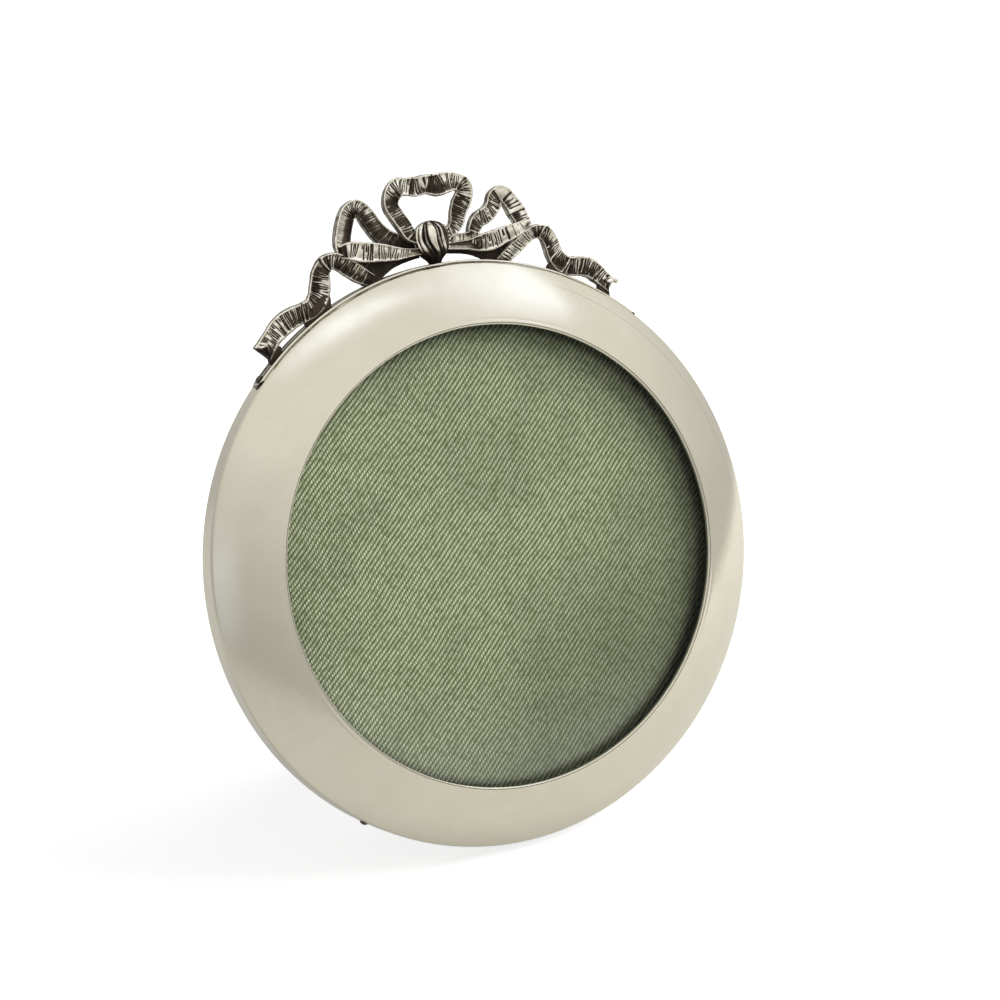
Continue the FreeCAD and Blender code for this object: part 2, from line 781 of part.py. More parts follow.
LOOP_RIGHT_LOWER_SHARES = (
    (0.352, 1.090, 0.4, 0.60, 0),
    (0.308, 1.071, 0.9, 0.90, 0),
    (0.255, 1.066, 1.1, 0.90, 0),
    (0.205, 1.053, 1.1, 0.92, 0),
    (0.160, 1.050, 0.9, 0.80, 0),
    (0.120, 1.058, 0.7, 0.45, 0),
    (0.050, 1.064, 0.4, 0.35, 0),
)
WEB_LEFT_SHARES = (
    (-0.045, 1.046, -1.3, 0.45, 0),
    (-0.100, 1.045, -1.3, 0.60, 0),
    (-0.152, 1.040, -1.3, 0.95, 0),
    (-0.202, 1.028, -1.2, 1.30, 0),
    (-0.237, 1.002, -1.0, 1.20, 0),
    (-0.248, 0.968, -0.8, 1.00, 0),
)
WEB_RIGHT_SHARES = (
    (0.045, 1.048, -1.3, 0.45, 0),
    (0.103, 1.047, -1.3, 0.60, 0),
    (0.153, 1.042, -1.3, 0.95, 0),
    (0.203, 1.026, -1.2, 1.30, 0),
    (0.236, 1.000, -1.0, 1.20, 0),
    (0.243, 0.968, -0.8, 0.95, 0),
)
TAIL_LEFT_SHARES = (
    (-0.243, 0.998, 0.0, 0.90, 0),
    (-0.282, 1.023, 0.0, 0.95, 0),
    (-0.322, 1.052, 0.2, 0.95, -4),
    (-0.362, 1.075, 0.5, 0.90, -8),
    (-0.398, 1.071, 0.6, 0.95, -8),
    (-0.423, 1.041, 0.4, 1.10, 4),
    (-0.431, 1.002, 0.0, 1.20, 8),
    (-0.444, 0.963, -0.2, 1.20, 8),
    (-0.473, 0.933, 0.0, 1.10, 0),
    (-0.513, 0.920, 0.4, 1.20, -8),
    (-0.553, 0.910, 0.4, 1.30, -8),
    (-0.591, 0.888, 0.0, 1.30, 4),
    (-0.624, 0.857, -0.2, 1.15, 8),
    (-0.654, 0.826, 0.0, 1.25, 4),
    (-0.670, 0.808, 0.2, 1.35, 0),
)
TAIL_RIGHT_SHARES = (
    (0.245, 0.981, 0.0, 0.80, 0),
    (0.280, 1.002, 0.0, 0.95, 0),
    (0.316, 1.025, 0.2, 1.00, 4),
    (0.350, 1.046, 0.5, 0.95, 8),
    (0.386, 1.056, 0.6, 0.85, 8),
    (0.417, 1.044, 0.5, 0.95, 4),
    (0.433, 1.012, 0.2, 1.12, -8),
    (0.440, 0.977, 0.0, 1.20, -8),
    (0.453, 0.944, 0.0, 1.20, 0),
    (0.485, 0.922, 0.2, 1.10, 8),
    (0.526, 0.914, 0.4, 1.15, 8),
    (0.566, 0.902, 0.2, 1.20, 0),
    (0.600, 0.876, -0.1, 1.15, -8),
    (0.628, 0.845, 0.0, 1.20, -4),
    (0.648, 0.822, 0.2, 1.25, 0),
)
# Notch in a tail's end and the feet under the tails: corners as shares of the rim radius.
NOTCH_LEFT_SHARES = ((-0.652, 0.822), (-0.672, 0.768), (-0.730, 0.800))
NOTCH_RIGHT_SHARES = ((0.638, 0.846), (0.690, 0.826), (0.650, 0.780))
FOOT_LEFT_SHARES = (
    ((-0.620, 0.835), (-0.598, 0.822), (-0.618, 0.760), (-0.650, 0.770), (-0.652, 0.815)),
    ((-0.498, 0.900), (-0.430, 0.955), (-0.400, 0.940), (-0.408, 0.890), (-0.500, 0.850)),
)
FOOT_RIGHT_SHARES = (
    ((0.600, 0.850), (0.590, 0.820), (0.600, 0.780), (0.632, 0.780), (0.636, 0.840)),
    ((0.425, 0.945), (0.480, 0.915), (0.474, 0.860), (0.410, 0.890), (0.412, 0.930)),
)
# Knot: height up the knot and its girth, as shares of its height and radius.
KNOT_SHARES = (
    (-0.05, 0.38),
    (0.08, 0.50),
    (0.22, 0.68),
    (0.38, 0.86),
    (0.55, 0.98),
    (0.70, 1.00),
    (0.83, 0.90),
    (0.93, 0.68),
    (1.00, 0.36),
)
KNOT_FLUTES = 12
KNOT_POINTS = 72


def crest_spot(across, up, depth=0.0):
    """Place in the disc's frame from shares of the rim radius and of the relief."""
    radius = rim_radius.value
    height = size.crest_depth.value + depth * size.crest_relief.value
    return Vector(across * radius, up * radius, height)


def ribbon(stations, gauge):
    """Strip of one thickness lofted along its stations."""
    out = Vector(0, 0, 1)
    sections = []
    for n, (across, up, depth, width, turn) in enumerate(stations):
        before = stations[max(n - 1, 0)]
        after = stations[min(n + 1, len(stations) - 1)]
        run = Vector(after[0] - before[0], after[1] - before[1], 0).normalize()
        side = Rotation(run, turn).multVec(run.cross(out))
        flat = run.cross(side)
        half = side * (width * size.ribbon_width.value / 2)
        thick = flat * (gauge.value / 2)
        spot = crest_spot(across, up, depth)
        corners = [spot + half + thick, spot - half + thick,
                   spot - half - thick, spot + half - thick]
        sections.append(Part.makePolygon(corners + corners[:1]))
    return Part.makeLoft(sections, True, False)


def plate(shares, gauge):
    """Flat plate in the bow's middle plane with corners given as shares."""
    corners = [crest_spot(across, up) for across, up in shares]
    face = Part.Face(Part.makePolygon(corners + corners[:1]))
    face.translate(Vector(0, 0, -gauge.value / 2))
    return face.extrude(Vector(0, 0, gauge.value))


def knot_shape():
    """Ball gathered by flutes, its foot on the strap."""
    sections = []
    for height, girth in KNOT_SHARES:
        points = []
        for n in range(KNOT_POINTS):
            turn = 2 * math.pi * n / KNOT_POINTS
            flute = size.flute_depth.value * girth * math.cos(KNOT_FLUTES * turn)
            wide = size.knot_radius.value * girth + flute
            deep = size.knot_half_depth.value * girth + flute
            points.append(Vector(wide * math.cos(turn),
                                 band_outside.value + height * size.knot_height.value,
                                 size.crest_depth.value + deep * math.sin(turn)))
        curve = Part.BSplineCurve()
        curve.interpolate(points, PeriodicFlag=True)
        sections.append(Part.Wire([curve.toShape()]))
    return Part.makeLoft(sections, True, False)


def biggest(shape):
    """The main solid, without the chips that a cut leaves."""
    return max(shape.Solids, key=lambda solid: solid.Volume)


def make_crest():
    strap_end = size.band_start + size.band_width
    band = turned("crest_band", [
        (band_inside, size.band_start),
        (band_outside, size.band_start),
        (band_outside, strap_end),
        (band_inside, strap_end),
    ], size.band_half_angle)
    tools = pin_holes("crest_band", UPPER_PINS, rim_radius, size.band_gauge * 2,
                      size.pin_shank_radius + size.running_fit)
    stand(drilled("crest_band", band, tools))

    rim = Part.makeCylinder(band_outside.value, size.face_depth.value)
    knot = biggest(knot_shape().cut(rim))
    gauge = size.ribbon_gauge
    loop_top = ribbon(LOOP_TOP_SHARES, gauge)
    loop_left = ribbon(LOOP_LEFT_UPPER_SHARES, gauge).fuse(
        ribbon(LOOP_LEFT_LOWER_SHARES, gauge))
    loop_right = ribbon(LOOP_RIGHT_UPPER_SHARES, gauge).fuse(
        ribbon(LOOP_RIGHT_LOWER_SHARES, gauge))
    web_left = ribbon(WEB_LEFT_SHARES, size.web_gauge)
    web_right = ribbon(WEB_RIGHT_SHARES, size.web_gauge)
    tail_left = ribbon(TAIL_LEFT_SHARES, gauge).cut(
        plate(NOTCH_LEFT_SHARES, gauge * 3))
    tail_right = ribbon(TAIL_RIGHT_SHARES, gauge).cut(
        plate(NOTCH_RIGHT_SHARES, gauge * 3))
    for shares in FOOT_LEFT_SHARES:
        tail_left = tail_left.fuse(plate(shares, gauge))
    for shares in FOOT_RIGHT_SHARES:
        tail_right = tail_right.fuse(plate(shares, gauge))

    # The ribbons are soldered edge to edge, so each is trimmed by those laid before it.
    laid = [rim, knot]
    for label, shape in (
        ("ribbon_loop_top", loop_top),
        ("ribbon_loop_left", loop_left),
        ("ribbon_loop_right", loop_right),
        ("ribbon_tail_left", tail_left),
        ("ribbon_tail_right", tail_right),
        ("ribbon_web_left", web_left),
        ("ribbon_web_right", web_right),
    ):
        for other in laid:
            if shape.BoundBox.intersect(other.BoundBox):
                shape = shape.cut(other)
        shape = biggest(shape)
        laid.append(shape)
        stand(feature(label, shape))
    stand(feature("bow_knot", knot))


def check_and_export():
    """Stop on any failed object or bad shape, then write one file for each piece."""
    DOC.recompute()
    for thing in DOC.Objects:
        if "Invalid" in thing.State or "Error" in thing.State:
            sys.exit("%s failed: %s" % (thing.Label, thing.State))
    for piece in pieces:
        if piece.Shape.isNull() or not piece.Shape.isValid():
            sys.exit(piece.Label + " has no valid shape")
    os.makedirs("parts", exist_ok=True)
    for piece in pieces:
        piece.Shape.exportStep(os.path.join("parts", piece.Label + ".step"))
        print("%-20s %d solid(s) %9.1f mm3"
              % (piece.Label, len(piece.Shape.Solids), piece.Shape.Volume))


make_bezel()
make_back_ring()
make_stack()
make_door()
make_turn_buttons()
make_rim_pins()
make_hinge()
make_leaf_screws()
make_strut()
make_crest()
check_and_export()
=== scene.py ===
"""Looks of a small round silver photo frame: spun ring, cast ribbon bow, corded silk, wooden back.

Lengths are in millimetres of each piece's own frame and become metres when a mesh is made. The
disc's frame has x across, y up the leaning disc and z out of its face, with z = 0 at the rim's
back.
"""

import json
import logging
import math
from dataclasses import dataclass, field
from enum import Enum

import bmesh
import bpy
import numpy as np
from mathutils import Matrix, Vector


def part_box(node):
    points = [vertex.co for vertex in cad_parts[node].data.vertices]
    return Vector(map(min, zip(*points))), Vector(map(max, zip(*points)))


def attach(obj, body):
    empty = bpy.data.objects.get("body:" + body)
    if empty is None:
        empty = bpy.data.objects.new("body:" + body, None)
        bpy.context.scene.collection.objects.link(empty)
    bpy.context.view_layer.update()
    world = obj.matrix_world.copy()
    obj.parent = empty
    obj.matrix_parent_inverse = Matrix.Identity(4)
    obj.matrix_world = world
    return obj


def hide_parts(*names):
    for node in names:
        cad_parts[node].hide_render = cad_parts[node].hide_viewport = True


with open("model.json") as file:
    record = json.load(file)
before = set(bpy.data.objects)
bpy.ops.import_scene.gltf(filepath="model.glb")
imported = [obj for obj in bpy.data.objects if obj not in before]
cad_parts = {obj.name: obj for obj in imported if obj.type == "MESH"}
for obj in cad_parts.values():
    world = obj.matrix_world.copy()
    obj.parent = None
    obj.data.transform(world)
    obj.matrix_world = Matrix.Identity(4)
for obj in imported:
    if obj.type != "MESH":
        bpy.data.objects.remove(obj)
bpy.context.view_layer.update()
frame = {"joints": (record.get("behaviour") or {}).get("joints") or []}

MM = 0.001
WELD = 1e-4
STRAIGHT = math.radians(175)
LOG = logging.getLogger("photo_frame")

Array = np.ndarray
Material = bpy.types.Material
Node = bpy.types.Node
Socket = bpy.types.NodeSocket
Thing = bpy.types.Object
Tree = bpy.types.NodeTree
Pair = tuple[float, float]
Shares = tuple[tuple[float, ...], ...]
Colour = tuple[float, float, float, float]


class Slot(Enum):
    """Material slots of the record."""

    SILVER = "silver"
    CAST_SILVER = "cast_silver"
    WALNUT = "walnut"
    GLASS = "clear_glass"
    SILK = "corded_silk"
    CARD = "card"
    BRASS = "brass"
    STEEL = "steel"


class Body(Enum):
    """Bodies that the pieces ride on."""

    FRAME = "frame"
    STRUT = "strut"
    BUTTON_TOP = "button_top"
    BUTTON_RIGHT = "button_right"
    BUTTON_LEFT = "button_left"


# Frames of reference


@dataclass(frozen=True)
class Disc:
    """The leaning disc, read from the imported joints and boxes.

    Attributes:
        place: matrix from the disc's frame, in metres, to the row frame.
        radius: outside radius of the silver skirt, in millimetres.
        pivot_behind: how far the turn-buttons' pivots lie behind the rim's back edge.
    """

    place: Matrix
    radius: float
    pivot_behind: float = 0.5

    @classmethod
    def from_frame(cls) -> "Disc":
        """Find the disc from two turn-button pivots, which lie on one circle round its axis.

        Returns:
            The disc's place and radius.
        """
        joints = {joint["name"]: joint for joint in frame["joints"]}
        top = Vector(joints["button_top_turn"]["pos_m"])
        side = Vector(joints["button_right_turn"]["pos_m"])
        out = Vector(joints["button_top_turn"]["axis"]).normalized()
        across = Vector((1.0, 0.0, 0.0))
        up = out.cross(across)
        drop = side - top
        reach = -drop.length_squared / (2 * drop.dot(up))
        centre = top - up * reach + out * (cls.pivot_behind * MM)
        place = Matrix((across, up, out)).transposed().to_4x4()
        place.translation = centre
        low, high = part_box("silver_bezel")
        return cls(place, (high.x - low.x) / 2 / MM)

    def turned(self, angle: float, radius: float, height: float) -> Matrix:
        """Place on the disc at an angle clockwise from the top, y pointing inwards.

        Args:
            angle: degrees from the top, clockwise seen from the front.
            radius: distance from the disc's axis.
            height: distance in front of the rim's back edge.

        Returns:
            Matrix in metres, for an object.
        """
        turn = Matrix.Rotation(-math.radians(angle), 4, "Z")
        step = Matrix.Translation(Vector((0, radius, height)) * MM)
        return self.place @ turn @ step @ Matrix.Rotation(math.pi, 4, "Z")


# Meshes


class Surface:
    """A mesh under way: points in millimetres, faces, and a value for each point's recess."""

    def __init__(self) -> None:
        """Start with nothing, and put new points where they are given."""
        self.at = Matrix.Identity(4)
        self.points: list[Array] = []
        self.recess: list[Array] = []
        self.faces: list[tuple[int, ...]] = []
        self.count = 0

    def grid(self, points: Array, recess: Array | None = None,
             wrap_rows: bool = False, wrap_columns: bool = False) -> None:
        """Add a sheet of four-sided faces.

        Args:
            points: array of rows, columns and x, y, z.
            recess: value for each point, 0 on the high spots and 1 in the hollows.
            wrap_rows: join the last row to the first.
            wrap_columns: join the last column to the first.
        """
        rows, columns = points.shape[:2]
        number = np.arange(rows * columns).reshape(rows, columns) + self.count
        if wrap_rows:
            number = np.vstack([number, number[:1]])
        if wrap_columns:
            number = np.hstack([number, number[:, :1]])
        quads = np.stack([number[:-1, :-1], number[:-1, 1:], number[1:, 1:], number[1:, :-1]], -1)
        self.faces += [tuple(quad) for quad in quads.reshape(-1, 4).tolist()]
        self.add(points.reshape(-1, 3), recess)

    def add(self, points: Array, recess: Array | None = None) -> None:
        """Add points without faces.

        Args:
            points: array of points.
            recess: value for each point.
        """
        turn = np.array(self.at)
        self.points.append(points @ turn[:3, :3].T + turn[:3, 3])
        self.recess.append(np.zeros(len(points)) if recess is None else recess.reshape(-1))
        self.count += len(points)

    def close(self, rows: int, width: int) -> None:
        """Close the first and the last row of the grid that was added last.

        Args:
            rows: its number of rows.
            width: points in each of them.
        """
        first, last = self.count - rows * width, self.count - width
        self.faces.append(tuple(range(first, first + width)))
        self.faces.append(tuple(range(last, last + width))[::-1])

    def build(self, name: str, place: Matrix, sharp_angle: float = 35.0,
              open_sheet: bool = False) -> Thing:
        """Make the object, weld its seams and turn its faces outwards.

        Args:
            name: name of the object.
            place: where its frame stands.
            sharp_angle: edges that turn by more degrees than this stay sharp.
            open_sheet: keep the faces as they are wound, for a sheet without a back.

        Returns:
            The new object, linked to the scene.
        """
        mesh = bpy.data.meshes.new(name)
        points = np.concatenate(self.points) * MM
        mesh.from_pydata(points.tolist(), [], self.faces)
        values = np.concatenate(self.recess).astype(np.float32)
        mesh.attributes.new("recess", "FLOAT", "POINT").data.foreach_set("value", values)
        work = bmesh.new()
        work.from_mesh(mesh)
        bmesh.ops.remove_doubles(work, verts=work.verts, dist=WELD * MM)
        bmesh.ops.dissolve_degenerate(work, edges=work.edges, dist=WELD / 10 * MM)
        if not open_sheet:
            bmesh.ops.recalc_face_normals(work, faces=work.faces)
        work.to_mesh(mesh)
        work.free()
        spots = np.empty(len(mesh.vertices) * 3, np.float32)
        mesh.vertices.foreach_get("co", spots)
        mesh.attributes.new("place", "FLOAT_VECTOR", "POINT").data.foreach_set("vector", spots)
        mesh.transform(place)
        mesh.shade_smooth()
        mesh.set_sharp_from_angle(angle=math.radians(sharp_angle))
        made = bpy.data.objects.new(name, mesh)
        bpy.context.scene.collection.objects.link(made)
        LOG.info("%s: %d faces", name, len(mesh.polygons))
        return made


def arc(centre: Pair, radius: float, start: float, end: float, steps: int) -> list[Pair]:
    """Points along an arc.

    Args:
        centre: middle of the arc.
        radius: its radius.
        start: first angle in degrees.
        end: last angle in degrees.
        steps: number of chords.

    Returns:
        The points, both ends included.
    """
    angles = np.radians(np.linspace(start, end, steps + 1))
    return [(centre[0] + radius * math.cos(a), centre[1] + radius * math.sin(a)) for a in angles]


def softened(corners: list[Pair], radius: float, steps: int = 3) -> list[Pair]:
    """Outline with every corner rounded.

    Args:
        corners: corners of a closed outline, in order.
        radius: rounding, cut back where a side is too short for it.
        steps: chords for each corner.

    Returns:
        The rounded outline.
    """
    rounded: list[Pair] = []
    total = len(corners)
    for n, here in enumerate(corners):
        spot = Vector(here)
        before = Vector(corners[n - 1]) - spot
        after = Vector(corners[(n + 1) % total]) - spot
        bend = before.angle(after, math.pi)
        if bend > STRAIGHT:
            rounded.append(here)
            continue
        back = min(radius / math.tan(bend / 2), before.length * 0.45, after.length * 0.45)
        start, end = spot + before.normalized() * back, spot + after.normalized() * back
        for share in np.linspace(0, 1, steps + 1):
            first, second = start.lerp(spot, share), spot.lerp(end, share)
            rounded.append(tuple(first.lerp(second, share)))
    return rounded


def lathe(surface: Surface, profile: list[Pair], segments: int, recess: list[float] | None = None,
          half_angles: list[float] | None = None, ripple: float = 0.0, seed: int = 1) -> None:
    """Turn a closed profile round the z axis.

    Args:
        surface: mesh to add to.
        profile: (radius, height) points in order.
        segments: steps round the axis.
        recess: value for each point of the profile.
        half_angles: each point's reach either way from the top in degrees, or the whole way round.
        ripple: largest hand-made waviness.
        seed: choice of that waviness.
    """
    whole = half_angles is None
    reach = np.radians([180.0] * len(profile) if whole else half_angles)
    steps = np.linspace(-1, 1, segments + (0 if whole else 1), endpoint=not whole)
    turns = steps[:, None] * reach
    radii, heights = (np.array(values) for values in zip(*profile))
    wave = np.zeros((len(steps), len(profile)))
    if ripple:
        draw = np.random.default_rng(seed)
        along = np.linspace(0, 2 * math.pi, len(profile), endpoint=False)
        for rate in range(2, 9):
            start, slide = draw.uniform(0, 2 * math.pi, 2)
            size = ripple * draw.uniform(0.3, 1.0) / rate
            wave += size * np.sin(rate * turns + start + 1.5 * np.sin(along + slide))
    radii = radii[None, :] + wave * (radii[None, :] > 0)
    spots = np.stack([radii * np.sin(turns), radii * np.cos(turns),
                      np.broadcast_to(heights, radii.shape)], -1)
    shade = None if recess is None else np.broadcast_to(np.array(recess), radii.shape)
    surface.grid(spots, shade, wrap_rows=whole, wrap_columns=True)
    if not whole:
        surface.close(len(steps), len(profile))


def rounding(edge: float) -> list[Pair]:
    """Inset and rise of the rings that round an edge, from a face outwards."""
    return [(edge * (1 - math.sin(angle)), edge * (1 - math.cos(angle)))
            for angle in np.radians([0, 30, 60, 90])]


def slab(surface: Surface, outline: list[Pair], low: float, high: float, edge: float,
         recess: float = 0.0) -> None:
    """Plate with rounded edges.

    Args:
        surface: mesh to add to.
        outline: closed outline, in order.
        low: height of its lower face.
        high: height of its upper face.
        edge: rounding of the edges.
        recess: value for its points.
    """
    flat = np.array(outline)
    ahead, behind = np.roll(flat, -1, 0) - flat, flat - np.roll(flat, 1, 0)
    run = ahead / np.linalg.norm(ahead, axis=1)[:, None]
    run = run + behind / np.linalg.norm(behind, axis=1)[:, None]
    run /= np.linalg.norm(run, axis=1)[:, None]
    area = np.sum(flat[:, 0] * np.roll(flat[:, 1], -1) - flat[:, 1] * np.roll(flat[:, 0], -1))
    inward = np.stack([-run[:, 1], run[:, 0]], -1) * np.sign(area)
    rings = [(inset, low + rise) for inset, rise in rounding(edge)]
    rings += [(inset, low + high - height) for inset, height in rings[::-1]]
    layers = [np.column_stack([flat + inward * inset, np.full(len(flat), height)])
              for inset, height in rings]
    surface.grid(np.stack(layers), np.full((len(layers), len(flat)), recess), wrap_columns=True)
    surface.close(len(layers), len(flat))


def board(surface: Surface, front: list[Vector], back: list[Vector], edge: float) -> None:
    """Board between two outlines with the same number of corners, its edges rounded.

    Args:
        surface: mesh to add to.
        front: corners of one face, in order.
        back: the corners behind them.
        edge: rounding of the edges.
    """
    work = bmesh.new()
    near, far = ([work.verts.new(corner) for corner in face] for face in (front, back))
    work.faces.new(near)
    work.faces.new(far[::-1])
    for n, corner in enumerate(near):
        work.faces.new([near[n - 1], far[n - 1], far[n], corner])
    bmesh.ops.bevel(work, geom=work.edges[:], offset=edge, segments=3, profile=0.5,
                    affect="EDGES", clamp_overlap=True)
    work.verts.index_update()
    start = surface.count
    surface.add(np.array([list(spot.co) for spot in work.verts]))
    surface.faces += [tuple(start + spot.index for spot in face.verts) for face in work.faces]
    work.free()


def catmull(values: Array, where: Array) -> Array:
    """Smooth curve through rows of values.

    Args:
        values: one row for each station.
        where: places along the stations, 0 at the first.

    Returns:
        One row for each place.
    """
    last = len(values) - 1
    low = np.clip(np.floor(where).astype(int), 0, last - 1)
    part = (where - low)[:, None]
    before, start = values[np.maximum(low - 1, 0)], values[low]
    end, after = values[low + 1], values[np.minimum(low + 2, last)]
    return (start + 0.5 * part * (end - before)
            + part ** 2 * (before - 2.5 * start + 2 * end - 0.5 * after)
            + part ** 3 * (1.5 * (start - end) + 0.5 * (after - before)))


def smoothed(value: Array, low: float, high: float) -> Array:
    """Smooth step from 0 at low to 1 at high."""
    share = np.clip((value - low) / (high - low), 0, 1)
    return share * share * (3 - 2 * share)


def cut_disc(radius: float, columns: Array, rows: int) -> tuple[Array, Array]:
    """Flat disc as a grid whose columns are straight lines across it.

    Args:
        radius: the disc's radius.
        columns: where the lines lie, from minus the radius to the radius.
        rows: number of points along each line.

    Returns:
        Grids of x and y.
    """
    share = np.linspace(-1, 1, rows)[:, None]
    reach = np.sqrt(np.maximum(radius ** 2 - columns ** 2, 0))
    return np.broadcast_to(columns, (rows, len(columns))), share * reach


def slotted_head(surface: Surface, radius: float, rise: float, thick: float, slot: float,
                 depth: float, wall: float = 0.03) -> None:
    """Screw head with a slot: a dome or a flat top over a flat underside.

    Args:
        surface: mesh to add to.
        radius: the head's radius.
        rise: height of the dome.
        thick: height of the straight side under it.
        slot: width of the slot.
        depth: depth of the slot.
        wall: run of each of its sides.
    """
    half = slot / 2
    outer = radius * np.sin(np.linspace(0, math.pi / 2, 12))[::-1]
    outer = outer[outer > half + 2 * wall]
    edges = np.array([half + wall, half, half - wall, 0.0])
    side = np.concatenate([outer, edges])
    columns = np.concatenate([-side, side[::-1][1:]])
    across, along = cut_disc(radius, columns, 21)
    share = np.minimum((across ** 2 + along ** 2) / radius ** 2, 1)
    dome = thick + rise * (1 - share)
    inside = smoothed(half + wall / 2 - np.abs(across), 0, wall)
    height = np.maximum(dome - depth * inside, min(thick * 0.3, dome.min()))
    top = np.stack([across, along, height], -1)
    under = np.stack([across, along, np.zeros_like(across)], -1)
    surface.grid(top, inside * 0.9)
    surface.grid(under[:, ::-1])
    if thick > 0:
        for row, way in ((0, 1), (-1, -1)):
            surface.grid(np.stack([top[row], under[row]])[::way])


def seat(node: str, piece: Thing, body: Body) -> None:
    """Let a piece ride on its body in place of its CAD node."""
    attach(piece, body.value)
    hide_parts(node)


# Silver ring


@dataclass
class Ring:
    """Spun silver ring: skirt, crowned face and turned-in lip."""

    sight: float = 48.4
    depth: float = 13.5
    skirt: float = 5.3
    crown: float = 0.95
    gauge: float = 0.6
    lip: float = 1.1
    shoulder_round: float = 1.5
    lip_round: float = 0.45
    groove_run: float = 1.15
    groove_depth: float = 0.07
    groove_half: float = 0.16
    segments: int = 360
    ripple: float = 0.035

    def face_arc(self, radius: float) -> tuple[Pair, float]:
        """Centre and radius of the face's arc, through skirt end, crown and lip end."""
        rise, run = self.depth - self.skirt, radius - self.sight
        chord = math.hypot(rise, run)
        bend = chord ** 2 / (8 * self.crown) + self.crown / 2
        back = bend - self.crown
        middle = ((radius + self.sight) / 2, (self.skirt + self.depth) / 2)
        return (middle[0] - back * rise / chord, middle[1] - back * run / chord), bend

    def half_profile(self, radius: float, inset: float, steps: tuple[int, int]) -> list[Pair]:
        """Profile from the skirt's back edge over the face to the end of the lip.

        Args:
            radius: outside of the skirt.
            inset: how far under the outer surface.
            steps: chords of the face and of each bend.

        Returns:
            The points, from the back edge to the lip's end.
        """
        centre, bend = self.face_arc(radius)
        bend -= inset
        outer, inner = radius - inset, self.sight + inset
        big, small = self.shoulder_round - inset, max(self.lip_round - inset, 0.05)
        turns = []
        for line, size, side in ((outer, big, 1), (inner, small, -1)):
            x = line - side * size
            y = centre[1] + math.sqrt((bend - size) ** 2 - (x - centre[0]) ** 2)
            turns.append(((x, y), math.degrees(math.atan2(y - centre[1], x - centre[0]))))
        (shoulder, start), (lip, end) = turns
        points = [(outer, z) for z in np.linspace(0, shoulder[1], 6)]
        points += arc(shoulder, big, 0, start, steps[1])
        points += arc(centre, bend, start, end, steps[0])[1:-1]
        points += arc(lip, small, end, 180, steps[1])
        points.append((inner, self.depth - self.lip))
        return points

    def build(self, disc: Disc) -> Thing:
        """Model the ring.

        Args:
            disc: the leaning disc.

        Returns:
            The ring.
        """
        outside = self.half_profile(disc.radius, 0, (64, 10))
        cut = []
        for radius, height in outside:
            off = abs(radius - self.sight - self.groove_run) / self.groove_half
            cut.append((radius, height - self.groove_depth * max(0.0, 1 - off ** 2)))
        inside = self.half_profile(disc.radius, self.gauge, (16, 4))[::-1]
        worn = [0.0] * len(cut) + [0.8] * len(inside)
        surface = Surface()
        lathe(surface, cut + inside, self.segments, worn, ripple=self.ripple, seed=7)
        return surface.build("silver_ring", disc.place, 50)


@dataclass
class RimPins:
    """Domed pins through the skirt, the upper two through the strap's ends too."""

    angles: tuple[float, ...] = (43.5, -43.5, 143.0, -143.0)
    depth: float = 2.2
    head: float = 1.0
    rise: float = 0.5
    shank: float = 0.4
    length: float = 3.0
    seat: float = 0.05
    strap: float = 0.5

    def build(self, disc: Disc) -> Thing:
        """Model the four pins as one piece."""
        ball = (self.head ** 2 + self.rise ** 2) / (2 * self.rise)
        edge = math.degrees(math.asin(self.head / ball))
        dome = arc((0, self.rise - ball), ball, 90, 90 - edge, 14)
        shape = dome + [(self.shank, 0.0), (self.shank, -self.length), (0, -self.length)]
        draw = np.random.default_rng(3)
        surface = Surface()
        for n, angle in enumerate(self.angles):
            out = disc.radius + self.seat + (self.strap if n < 2 else 0)
            turn = Matrix.Rotation(-math.radians(angle), 4, "Z")
            tip = Matrix.Rotation(-math.pi / 2, 4, "X")
            surface.at = turn @ Matrix.Translation((0, out, self.depth)) @ tip
            dented = [(r * draw.uniform(0.9, 1.0), z) for r, z in shape]
            lathe(surface, dented, 40, [0.15] * 4 + [1.0] * (len(shape) - 4), ripple=0.02,
                  seed=n + 11)
        return surface.build("rim_pin_heads", disc.place, 50)


@dataclass
class Strap:
    """Strap soldered round the top of the skirt, with a bead along each edge."""

    inside: float = 0.05
    gauge: float = 0.45
    start: float = 0.4
    width: float = 4.2
    half_angle: float = 45.5
    bead: float = 0.3
    bead_foot: float = 0.1
    hollow: float = 0.16
    ridge: float = 0.14
    columns: int = 29
    segments: int = 220

    def build(self, disc: Disc) -> Thing:
        """Model the strap."""
        low = disc.radius + self.inside
        top = low + self.gauge
        across = np.linspace(-1, 1, self.columns)
        half = self.width / 2
        edge = 1 - self.bead / half
        foot = low + self.bead_foot
        outer, worn = [], []
        for share in across:
            a = abs(share)
            lift = math.sqrt(max(0, 1 - ((a - edge) / (1 - edge)) ** 2)) if a > edge else 1
            dip = float(smoothed(np.array(edge + 0.02 - a), 0, 0.2))
            ridge = max(0.0, 1 - (share / self.ridge) ** 2)
            fall = self.hollow * dip * (1 - 0.8 * ridge)
            outer.append((foot + (top - foot) * lift - fall, half * (1 + share)))
            worn.append(0.2 + 0.6 * dip * (1 - ridge) if a < edge else 0.15)
        profile = [(r, self.start + z) for r, z in outer]
        profile += [(low, self.start + self.width), (low, self.start)]
        tip = math.degrees(half / top)
        reach = [self.half_angle - tip * (1 - math.sqrt(max(0, 1 - s * s))) for s in across]
        reach += [self.half_angle - tip] * 2
        surface = Surface()
        lathe(surface, profile, self.segments, worn + [0.8, 0.8], half_angles=reach, ripple=0.02,
              seed=5)
        return surface.build("crest_strap", disc.place, 50)


# Ribbon bow

